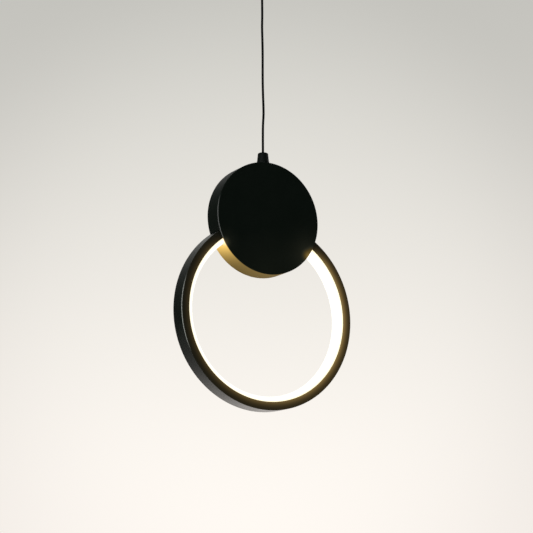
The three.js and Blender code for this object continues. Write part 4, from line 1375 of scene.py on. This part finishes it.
@dataclass(frozen=True)
class Ring(SubAssembly):
    """The LED ring: a rolled channel open towards its middle, and the milky dome that closes it."""

    face: float = 0.0088
    flange: float = 0.0012
    wall: float = 0.0015
    edge_radius: float = 0.0004
    rib: float = 0.0008
    rib_from_wall: float = 0.0016
    joint_gap: float = 0.0004
    proud: float = 0.006
    diffuser_wall: float = 0.0015
    squareness: float = 2.5
    end_angle: float = math.radians(25.5)
    splice_angle: float = math.radians(3.8)
    splice_hole: float = 0.0014
    bracket_angle: float = math.radians(20)
    bracket_hole: float = 0.0018
    lead_angle: float = math.radians(12)
    lead_hole: float = 0.0033

    @property
    def inner(self) -> float:
        """The radius of the flanges' inner edge."""
        return self.datum.ring_radius - self.face

    def make(self) -> None:
        """Makes the channel and the diffuser."""
        gap = self.joint_gap / 2 / self.datum.ring_radius
        holes = [(sign * self.splice_angle, self.splice_hole) for _, sign in SIDES]
        holes += [(sign * self.bracket_angle, self.bracket_hole) for _, sign in SIDES]
        holes += [(self.lead_angle, self.lead_hole)]
        self.bench.piece(
            "rolled_channel",
            self.rolled(self.channel_outline(), segments=300, open_angle=gap),
            "ring_channel",
            Slot.BLACK_METAL,
            cutters=tuple(self.drill(angle, radius) for angle, radius in holes),
            finish=self.paint(),
        )
        self.bench.piece(
            "milky_dome",
            self.rolled(self.dome_outline(), segments=280, open_angle=self.end_angle),
            "ring_diffuser",
            Slot.MILKY_DIFFUSER,
            finish=LitDiffuser(self.datum.ring_centre, self.inner - self.proud, self.inner).material(),
        )

    def paint(self) -> bpy.types.Material:
        """The ring's powder coat, with the diffuser's light on its flanges.

        Returns:
            The paint.
        """
        centre, radius, half = self.datum.ring_centre, self.datum.ring_radius, self.datum.ring_half
        return PowderCoat(
            name="powder_coat_beside_the_light",
            dark=(0.0012, 0.0042, 0.0020),
            pale=(0.0026, 0.0057, 0.0032),
            gloss=(0.28, 0.34),
            specular=0.34,
            spill=FlangeSpill(
                centre=centre,
                far_radius=radius,
                near_radius=self.inner,
                far_strength=0.03,
                near_strength=0.256,
                power=2.5,
                colour=(1.0, 0.64, 0.2),
                half_depth=half,
                housing=self.datum.disc_centre,
            ),
            # Painted highlight along the ring's front outer edge, on its left side only.
            edge=PaintedEdgeHighlight(
                centre=centre,
                radius=radius,
                front=centre[1] - half,
                colour=(0.25, 0.265, 0.245),
                side=(-1, 0, -0.06),
                side_range=(0.91, 0.985),
            ),
        ).material()

    def rolled(self, outline: np.ndarray, segments: int, open_angle: float) -> Surface:
        """A section rolled round the ring's axis, open at the top by an angle on either side."""
        centre = self.datum.ring_centre
        return turned(outline, Axis.DEPTH, centre, segments, open_angle, FULL_TURN - open_angle)

    def drill(self, angle: float, radius: float) -> Surface:
        """A round cutter through the ring's outer wall.

        Args:
            angle: Its angle from the ring's top.
            radius: Its radius.

        Returns:
            The cutter.
        """
        outer = self.datum.ring_radius
        ends = [self.datum.on_ring(angle, reach) for reach in (outer - 2 * self.wall, outer + self.wall)]
        return rod(*ends, radius)

    def channel_outline(self) -> np.ndarray:
        """The channel's section: outer wall, two flanges with rounded edges, and a rib on each.

        Returns:
            Radius and depth of its points.
        """
        outer, inner, half = self.datum.ring_radius, self.inner, self.datum.ring_half
        wall = outer - self.wall
        channel = half - self.flange
        rib_outer = wall - self.rib_from_wall
        rib_inner = rib_outer - self.rib
        near = [(inner, -channel, EASE), (inner, -half, self.edge_radius), (outer, -half, self.edge_radius)]
        far = [(outer, half, EASE), (inner, half, self.edge_radius), (inner, channel, EASE)]
        inside = [
            (wall, channel, EASE),
            (rib_outer, channel, CRISP),
            (rib_outer, channel - self.rib, CRISP),
            (rib_inner, channel - self.rib, CRISP),
            (rib_inner, channel, CRISP),
        ]
        mirrored = [(radius, -y, fillet) for radius, y, fillet in inside]
        return rounded(near + far + inside[::-1] + mirrored, steps=5)

    def dome_outline(self) -> np.ndarray:
        """The diffuser's section: a squared half ellipse inwards from the flanges' edge, on straight legs.

        With the depth y and the height h above the flanges' edge, the outside keeps
        (|y| / half) ^ s + (h / proud) ^ s = 1 for the squareness s, and the inside keeps the same with both
        axes shorter by the wall.

        Returns:
            Radius and depth of its points.
        """
        wall = self.diffuser_wall
        half = self.datum.ring_half - self.flange - SEAT
        foot = self.datum.ring_radius - self.wall - self.rib_from_wall - self.rib - SEAT
        angle = np.linspace(0, math.pi, 29)
        cosine, sine = np.cos(angle), np.abs(np.sin(angle))

        def arch(depth: float, height: float) -> np.ndarray:
            """The squared half ellipse of a half depth and a height, from the rear to the front."""
            across, inwards = (part ** (2 / self.squareness) for part in (np.abs(cosine), sine))
            return np.stack([self.inner - height * inwards, np.sign(cosine) * across * depth], axis=-1)

        legs = [[foot, half], [foot, -half], [foot, wall - half], [foot, half - wall]]
        inside = arch(half - wall, self.proud - wall)[::-1]
        return np.vstack([legs[:1], arch(half, self.proud), legs[1:3], inside, legs[3:]])


@dataclass(frozen=True)
class Housing(SubAssembly):
    """The round housing: a front shell with face and wall in one, and a flat cover let into its rear."""

    ring: Ring
    wall: float = 0.0015
    face: float = 0.0012
    edge_radius: float = 0.0007
    cover_thickness: float = 0.002
    lip_thickness: float = 0.001
    lip_height: float = 0.0025
    post_radius: float = 0.0035
    post_bore: float = 0.0018
    post_sink: float = 0.0004
    post_inset: float = 0.011
    post_angles: tuple[float, ...] = (125, 55, 270)
    sunk_head: float = 0.0032
    sunk_shank: float = 0.0018
    sunk_depth: float = 0.0018
    driver_post_height: float = 0.002
    bracket_post_height: float = 0.0045
    bracket_hole_rise: float = 0.008
    gland_hole: float = 0.0051
    rear_edge_radius: float = 0.0004
    bloom_right: float = math.radians(126.5)
    bloom_corner: float = math.radians(120)
    bloom_left: float = math.radians(-121.5)

    @property
    def rear(self) -> float:
        """The depth at which the cover's inside starts."""
        return self.datum.disc_back - self.cover_thickness

    def make(self) -> None:
        """Makes the front shell and the rear cover."""
        top = self.datum.disc_centre[2] + self.datum.disc_radius
        gland = rod((0, 0, top - 3 * self.wall), (0, 0, top + self.wall), self.gland_hole, sides=40)
        passage, paint = self.passage(), self.paint()
        self.bench.piece(
            "housing_shell",
            self.shell(),
            "front_housing",
            Slot.BLACK_METAL,
            cutters=(passage, gland),
            beside=self.posts(),
            finish=paint,
        )
        self.bench.piece(
            "housing_cover",
            self.cover(),
            "rear_cover",
            Slot.BLACK_METAL,
            cutters=(passage, *self.countersinks()),
            finish=paint,
        )

    def paint(self) -> bpy.types.Material:
        """The housing's powder coat, with the ring's light on its wall.

        Returns:
            The paint.
        """
        datum = self.datum
        # The angle on the rim, the reach, the strength and the power of each
        glows = (
            (self.bloom_right, 0.011, 0.27, 2.6),
            (self.bloom_corner, 0.008, 0.085, 2.6),
            (self.bloom_right, 0.06, 0.018, 4.5),
            (self.bloom_left, 0.009, 0.055, 2.6),
            (self.bloom_left, 0.022, 0.006, 2),
            (math.pi, 0.05, 0.0028, 1),
        )
        return PowderCoat(
            name="powder_coat_round_the_light",
            gloss=(0.56, 0.59),
            specular=0.15,
            spill=WallSpill(
                centre=datum.ring_centre,
                far_radius=0.045,
                near_radius=self.ring.inner,
                far_strength=0.195,
                near_strength=1.88,
                power=3.1,
                colour=(1.0, 0.64, 0.16),
                housing=datum.disc_centre,
                wall_radius=datum.disc_radius,
                front_edge=datum.disc_front,
                rear_edge=datum.disc_back,
                blooms=tuple(Bloom(datum.on_rim(angle), *glow) for angle, *glow in glows),
            ),
            # Painted highlight along the housing's front rim, on its left side only.
            edge=PaintedEdgeHighlight(
                centre=datum.disc_centre,
                radius=datum.disc_radius,
                front=datum.disc_front,
                colour=(0.115, 0.12, 0.115),
                side=(-0.985, 0, -0.17),
                side_range=(0.86, 0.99),
            ),
        ).material()

    def shell(self) -> Surface:
        """The front shell before it is cut: its outline runs over the face, up the wall and back inside.

        Returns:
            The shell.
        """
        radius, front, rim = self.datum.disc_radius, self.datum.disc_front, self.rear - SEAT
        inner = radius - self.wall
        outline = [
            (0, front, 0),
            (radius, front, self.edge_radius),
            (radius, rim, TRIM),
            (inner, rim, CRISP),
            (inner, front + self.face, SOFT),
            (0, front + self.face, 0),
        ]
        return turned(rounded(outline), Axis.DEPTH, self.datum.disc_centre, segments=256)

    def passage(self) -> Surface:
        """What the ring, its diffuser and their clearance take out of the wall, open to the rear.

        Its section is the channel's with the seat round it, and inwards of it the dome's front half.

        Returns:
            The cutter.
        """
        ring = self.ring
        near, far = -self.datum.ring_half - SEAT, self.rear - self.datum.ring_centre[1]
        lip, outer = ring.inner - SEAT, self.datum.ring_radius + SEAT
        half, height = self.datum.ring_half - ring.flange, ring.proud + SEAT
        crown = ring.inner - height
        angle = np.linspace(0, math.pi / 2, 17)[1:-1]
        inwards, across = (part(angle) ** (2 / ring.squareness) for part in (np.cos, np.sin))
        curve = np.stack([ring.inner - height * inwards, -half * across], axis=-1)
        corners = [[lip, near], [outer, near], [outer, far], [crown, far], [crown, 0]]
        outline = np.vstack([corners, curve[curve[:, 0] < lip]])
        return turned(outline, Axis.DEPTH, self.datum.ring_centre, segments=360)

    def post(self, x: float, z: float, height: float) -> Surface:
        """A hollow post that stands on the inside of the face.

        Args:
            x: Its place across.
            z: Its place in height.
            height: How long it is.

        Returns:
            The post.
        """
        floor = self.datum.disc_front + self.face
        outline = [
            (self.post_bore, floor + SEAT, 0),
            (0, floor + SEAT, 0),
            (0, floor - self.post_sink, 0),
            (self.post_radius, floor - self.post_sink, 0),
            (self.post_radius, floor + height, EASE),
            (self.post_bore, floor + height, FINE),
        ]
        return turned(rounded(outline, steps=3), Axis.DEPTH, (x, 0, z), segments=36)

    def cover_places(self) -> list[Pair]:
        """Where the cover's screws stand, across and in height."""
        circle, z = self.datum.disc_radius - self.post_inset, self.datum.disc_centre[2]
        turns = np.radians(self.post_angles)
        return list(zip(circle * np.cos(turns), z + circle * np.sin(turns)))

    def posts(self) -> Surface:
        """All posts inside the shell: for the cover, the driver and the ring's brackets.

        Returns:
            The posts, as one surface.
        """
        full = self.rear - SEAT - self.datum.disc_front - self.face
        made = [self.post(x, z, full) for x, z in self.cover_places()]
        for side, sign in SIDES:
            x, _, z = middle_of(f"driver_screw_{side}")
            made.append(self.post(x, z, self.driver_post_height))
            radius = self.datum.ring_radius + self.bracket_hole_rise
            x, _, z = self.datum.on_ring(sign * self.ring.bracket_angle, radius)
            made.append(self.post(x, z, self.bracket_post_height))
        return sum(made[1:], made[0])

    def cover(self) -> Surface:
        """The cover before it is cut: a plate with rounded edges and a locating lip inside the wall.

        Returns:
            The cover.
        """
        radius, near, back = self.datum.disc_radius, self.rear, self.datum.disc_back
        lip = radius - self.wall - SEAT
        outline = [
            (0, near, 0),
            (lip - self.lip_thickness, near, FINE),
            (lip - self.lip_thickness, near - self.lip_height, FINE),
            (lip, near - self.lip_height, FINE),
            (lip, near, HAIR),
            (radius, near, TRIM),
            (radius, back, self.rear_edge_radius),
            (0, back, 0),
        ]
        return turned(rounded(outline), Axis.DEPTH, self.datum.disc_centre, segments=256)

    def countersinks(self) -> list[Surface]:
        """The cover's screw holes, each a bore with a cone that the screw's head fills.

        Returns:
            The cutters.
        """
        near, back = self.rear, self.datum.disc_back
        outline = [
            (0, near - OVERRUN, 0),
            (self.sunk_shank, near - OVERRUN, 0),
            (self.sunk_shank, back - self.sunk_depth, 0),
            (self.sunk_head, back - SEAT, 0),
            (self.sunk_head, back + OVERRUN, 0),
            (0, back + OVERRUN, 0),
        ]
        section = rounded(outline)
        return [turned(section, Axis.DEPTH, (x, 0, z), segments=40) for x, z in self.cover_places()]


@dataclass(frozen=True)
class Screws(SubAssembly):
    """Every screw of the lamp, each placed by its head."""

    ring: Ring
    m4: ScrewSize = ScrewSize(0.0038, 0.0024, 0.0020, 0.0075)
    m4_earth: ScrewSize = ScrewSize(0.0038, 0.0024, 0.0020, 0.0015)
    m3_pan: ScrewSize = ScrewSize(0.0027, 0.0017, 0.0015, 0.0040)
    m3_sunk: ScrewSize = ScrewSize(0.0029, 0.0015, 0.0015, 0.0080, sunk=True)
    m3_ring: ScrewSize = ScrewSize(0.0027, 0.0014, 0.0015, 0.0055)
    m2_splice: ScrewSize = ScrewSize(0.0021, 0.0013, 0.0011, 0.0038)

    def make(self) -> None:
        """Makes each screw where its node is."""
        zinc, black = Slot.ZINC_PLATE, Slot.BLACK_SCREW
        for side, sign in SIDES:
            splice, bracket = sign * self.ring.splice_angle, sign * self.ring.bracket_angle
            outwards = (math.sin(splice), 0, math.cos(splice))
            inwards = (-math.sin(bracket), 0, -math.cos(bracket))
            self.screw(f"canopy_screw_{side}", self.m4, (sign, 0, 0), black, Body.CEILING)
            self.screw(f"driver_screw_{side}", self.m3_pan, BACK, zinc)
            self.screw(f"bracket_post_screw_{side}", self.m3_pan, BACK, zinc)
            self.screw(f"splice_screw_{side}", self.m2_splice, outwards, zinc, radial=True)
            self.screw(f"bracket_ring_screw_{side}", self.m3_ring, inwards, zinc, radial=True)
        self.screw("earth_screw", self.m4_earth, (0, 0, -1), Slot.BRASS_SCREW, Body.CEILING)
        for place in ("top_left", "top_right", "bottom"):
            self.screw(f"cover_screw_{place}", self.m3_sunk, BACK, black)

    def screw(
        self,
        node: str,
        size: ScrewSize,
        way: Place,
        slot: Slot,
        body: Body = Body.LAMP,
        radial: bool = False,
    ) -> None:
        """Makes a screw. The top of its head is the farthest point of its node on the screw's own line.

        Args:
            node: The node that it stands for.
            size: Its size.
            way: Where its head looks.
            slot: The record's slot of its finish.
            body: The body that it rides on.
            radial: Whether its line passes through the ring's middle, and not its node's.
        """
        look = np.array(way, float)
        points = np.array([vertex.co for vertex in frame["nodes"][node].data.vertices])
        middle = np.array(self.datum.ring_centre if radial else middle_of(node))
        top = middle + look * ((points - middle) @ look).max()
        turn = np.array(Vector(UP).rotation_difference(Vector(way)).to_matrix())
        seat = tuple(top - look * (0 if size.sunk else size.height))
        cross = tuple(block.moved(seat, turn) for block in size.recess())
        self.bench.piece(node + "_cross_head", size.surface().moved(seat, turn), node, slot, body, cross)


@dataclass(frozen=True)
class Inside(SubAssembly):
    """What the closed housing hides: the driver, the ring's brackets and its joint plate."""

    case_edge: float = 0.0004
    lid_edge: float = 0.0003
    sheet_edge: float = 0.00015

    def make(self) -> None:
        """Eases the edges of each piece."""
        self.bench.eased("driver_case", Slot.WHITE_PLASTIC, self.case_edge)
        self.bench.eased("driver_lid", Slot.WHITE_PLASTIC, self.lid_edge)
        for node in ("ring_splice_plate", "ring_bracket_left", "ring_bracket_right"):
            self.bench.eased(node, Slot.ZINC_PLATE, self.sheet_edge)


@dataclass(frozen=True)
class Studio:
    """A pale studio: a light wall behind the lamp, a pale floor and soft lamps at a plain level.

    The wall is lighter round one direction, and dark far from it in mirror images. Angles are in degrees.
    Each lamp has a name, an azimuth, an elevation, a distance, a side and a power.
    """

    floor_z: float = -1.25
    floor_radius: float = 20.0
    floor_shares: tuple[float, ...] = (0, 0.025, 0.05, 0.1, 0.2, 0.4, 0.6, 0.8, 1)
    floor_colour: Colour = (0.82, 0.80, 0.77)
    floor_shade: float = 0.97
    floor_cloud: float = 0.3
    floor_roughness: float = 0.9
    floor_specular: float = 0.1
    floor_fades: Pair = (3.0, 13.0)
    pool_cosines: Pair = (0.58, 0.96)
    pool_levels: Pair = (0.06, 1.52)
    wall_low: Colour = (0.931, 0.878, 0.830)
    wall_high: Colour = (0.544, 0.538, 0.503)
    wall_sines: Pair = (-0.06, 0.417)
    glow: float = 0.148
    glow_colour: Colour = (1.0, 0.98, 0.91)
    glow_azimuth: float = -29.0
    glow_elevation: float = 10.0
    glow_width: float = 14.0
    dark_room: Colour = (0.035, 0.035, 0.035)
    dark_cosines: Pair = (0.68, 0.97)
    plain_light: Colour = (0.42, 0.42, 0.42)
    lamp_target: Place = (0, 0, -0.3)
    lamps: tuple[tuple[str, float, float, float, float, float], ...] = (
        ("key", -60, 8, 2.4, 1.1, 30),
        ("fill", 95, 25, 2.6, 1.6, 12),
        ("top", 170, 62, 2.4, 1.8, 16),
    )

    def direction(self, azimuth: float, elevation: float) -> Vector:
        """The direction in which a camera at an azimuth looks, raised by an elevation."""
        turn, rise = math.radians(azimuth), math.radians(elevation)
        return Vector((-math.sin(turn) * math.cos(rise), math.cos(turn) * math.cos(rise), math.sin(rise)))

    def build(self) -> None:
        """Builds the world, the floor and the lamps."""
        self.build_world()
        self.build_floor()
        for lamp in self.lamps:
            self.build_lamp(*lamp)

    def build_world(self) -> None:
        """Builds the world: a pale wall for the camera and in reflections, an even light for the rest."""
        world = bpy.data.worlds.new("pale_studio")
        bpy.context.scene.world = world
        world.use_nodes = True
        nodes = Nodes(world.node_tree)
        way = nodes.node("TexCoord").outputs["Generated"]
        height = nodes.node("SeparateXYZ", {0: way}).outputs[2]
        wall = nodes.blend(nodes.ramp(height, *self.wall_sines), self.wall_low, self.wall_high)
        cosine = nodes.cosine(way, tuple(self.direction(self.glow_azimuth, self.glow_elevation)))
        near = nodes.ramp(cosine, math.cos(math.radians(self.glow_width)), 1, 0, self.glow)
        warm = nodes.node("VectorMath", {0: self.glow_colour, "Scale": near}, operation="SCALE").outputs[0]
        lit = nodes.vector("ADD", wall, warm)
        seen, reflected = nodes.rays()
        mirrored = nodes.blend(nodes.ramp(cosine, *self.dark_cosines), self.dark_room, lit)
        shown = nodes.blend(seen, nodes.blend(reflected, self.plain_light, mirrored), lit)
        background = nodes.node("Background", {"Color": shown, "Strength": 1.0})
        nodes.node("OutputWorld", {0: background.outputs[0]})

    def build_floor(self) -> None:
        """Builds a wide pale floor that keeps the lamp's shadow and fades into the wall far away."""
        radii = np.array(self.floor_shares)[:, None] * self.floor_radius
        grid = polar(radii, angles(96), np.array(self.floor_z))
        floor = placed("studio_floor", mesh_of("studio_floor", woven(grid, rows_close=False)))
        recipe = Recipe("pale_floor")
        seen, mirrored = recipe.rays()
        distance = recipe.vector("LENGTH", recipe.where, result="Value")
        far = recipe.product(recipe.ramp(distance, *self.floor_fades), recipe.sum("MAXIMUM", seen, mirrored))
        paler = shaded(self.floor_colour, self.floor_shade)
        floor.data.materials.append(
            recipe.dress(
                Base_Color=recipe.blend(recipe.noise(self.floor_cloud, detail=3), paler, self.floor_colour),
                Roughness=self.floor_roughness,
                Specular_IOR_Level=self.floor_specular,
            )
        )
        way = recipe.vector("NORMALIZE", recipe.vector("MULTIPLY", recipe.where, (1, 1, 0)))
        cosine = recipe.cosine(way, tuple(self.direction(self.glow_azimuth, 0)))
        pool = recipe.sum("SUBTRACT", recipe.line(cosine, *self.pool_cosines, *self.pool_levels), 1)
        level = recipe.sum("ADD", recipe.product(pool, mirrored), 1)
        haze = recipe.node("Emission", {"Color": self.wall_low, "Strength": level}).outputs[0]
        share = recipe.sum("MAXIMUM", far, mirrored)
        mix = recipe.node("MixShader", {0: share, 1: recipe.shader.outputs[0], 2: haze})
        recipe.put(recipe.output.inputs[0], mix.outputs[0])

    def build_lamp(
        self, name: str, azimuth: float, elevation: float, distance: float, side: float, power: float
    ) -> None:
        """Builds a soft box that looks at the lamp.

        Args:
            name: Its name.
            azimuth: The azimuth of its place.
            elevation: The elevation of its place.
            distance: How far from the lamp's middle it stands.
            side: How wide and high it is.
            power: Its power in watts.
        """
        data = bpy.data.lights.new(name, "AREA")
        data.shape = "SQUARE"
        data.size = side
        data.energy = power
        lamp = placed(name, data)
        lamp.visible_camera = False
        back = -self.direction(azimuth, -elevation)
        lamp.location = Vector(self.lamp_target) + back * distance
        lamp.rotation_mode = "QUATERNION"
        lamp.rotation_quaternion = back.to_track_quat("Z", "Y")


@dataclass(frozen=True)
class Viewpoint:
    """The photograph's viewpoint: a pinhole camera that looks up at the lamp from its left."""

    azimuth: float = -29.5193
    elevation: float = -12.0189
    distance: float = 1.59867
    target: Place = (0.003487, 0, -0.350854)
    roll: float = -0.3420
    focal_pixels: float = 1532.48
    frame_pixels: float = 533
    sensor: float = 36

    def build(self) -> None:
        """Makes the camera and hands it to the scene."""
        turn, rise, tilt = (math.radians(angle) for angle in (self.azimuth, self.elevation, self.roll))
        back = Vector((math.sin(turn) * math.cos(rise), -math.cos(turn) * math.cos(rise), math.sin(rise)))
        level = Vector((math.cos(turn), math.sin(turn), 0))
        upright = back.cross(level)
        right = math.cos(tilt) * level + math.sin(tilt) * upright
        up = math.cos(tilt) * upright - math.sin(tilt) * level
        data = bpy.data.cameras.new("photograph_view")
        data.sensor_width = self.sensor
        data.lens = self.sensor * self.focal_pixels / self.frame_pixels
        camera = placed("photograph_view", data)
        place = Matrix((right, up, back)).transposed().to_4x4()
        place.translation = Vector(self.target) + back * self.distance
        camera.matrix_world = place
        bpy.context.scene.camera = camera


def finishes() -> dict[Slot, bpy.types.Material]:
    """One finish for each of the record's slots.

    Returns:
        The materials by slot.
    """
    black, cord, moulding = (0.012, 0.0135, 0.012), (0.0025, 0.003, 0.0026), (0.003, 0.0056, 0.0042)
    zinc, brass = (0.62, 0.63, 0.65), (0.72, 0.56, 0.28)
    made = {
        Slot.BLACK_METAL: PowderCoat(),
        Slot.BLACK_SCREW: PowderCoat("blackened_screw", gloss=(0.3, 0.38), grain=0.0002),
        Slot.BLACK_PLASTIC: Moulding("black_moulding", moulding, (0.55, 0.66), specular=0.12),
        Slot.BLACK_RUBBER: Moulding("black_rubber", black, (0.65, 0.76)),
        Slot.CORD_JACKET: ExtrudedJacket("round_cord_jacket", cord, (0.69, 0.81), specular=0.08),
        Slot.MILKY_DIFFUSER: Moulding("milky_plastic", (0.93, 0.92, 0.88), (0.35, 0.46), shade=0.97),
        Slot.STRIP_BOARD: Moulding("white_strip_board", (0.82, 0.79, 0.7), (0.4, 0.51)),
        Slot.WHITE_PLASTIC: Moulding("white_moulding", (0.76, 0.76, 0.73), (0.37, 0.48), shade=0.95),
        Slot.ZINC_PLATE: PlatedMetal("zinc_plated_steel", zinc, dark=(0.5, 0.5, 0.5)),
        Slot.BRASS_SCREW: PlatedMetal("plain_brass", brass, dark=(0.55, 0.42, 0.2)),
        Slot.RED_WIRE: ExtrudedJacket("red_insulation", (0.32, 0.025, 0.02), (0.34, 0.46)),
        Slot.BLACK_WIRE: ExtrudedJacket("black_insulation", black, (0.34, 0.46)),
    }
    return {slot: finish.material() for slot, finish in made.items()}


def dress_nodes(bench: Workbench) -> None:
    """Gives every node that still shows the finish of its slot.

    Args:
        bench: The workbench that holds the finishes.
    """
    for row in frame["record"]["subparts"]:
        node = frame["nodes"][row["node"]]
        if node.hide_render:
            continue
        node.data.materials.clear()
        node.data.materials.append(bench.finishes[Slot(row["material_slot"])])
        LOG.info("%s: its own mesh, dressed", node.name)


def main() -> None:
    """Builds the view, the studio and the lamp, piece by piece."""
    logging.basicConfig(level=logging.INFO, format="%(name)s: %(message)s")
    bpy.context.scene.view_settings.view_transform = "Standard"
    Viewpoint().build()
    datum = Datum.from_frame()
    bench = Workbench(finishes())
    cords, ring = Cords(bench, datum), Ring(bench, datum)
    cords.hang()
    Studio().build()
    Canopy(bench, datum).make()
    cords.feed()
    Gland(bench, datum).make()
    ring.make()
    Housing(bench, datum, ring).make()
    Screws(bench, datum, ring).make()
    Inside(bench, datum).make()
    dress_nodes(bench)


if __name__ == "__main__":
    main()
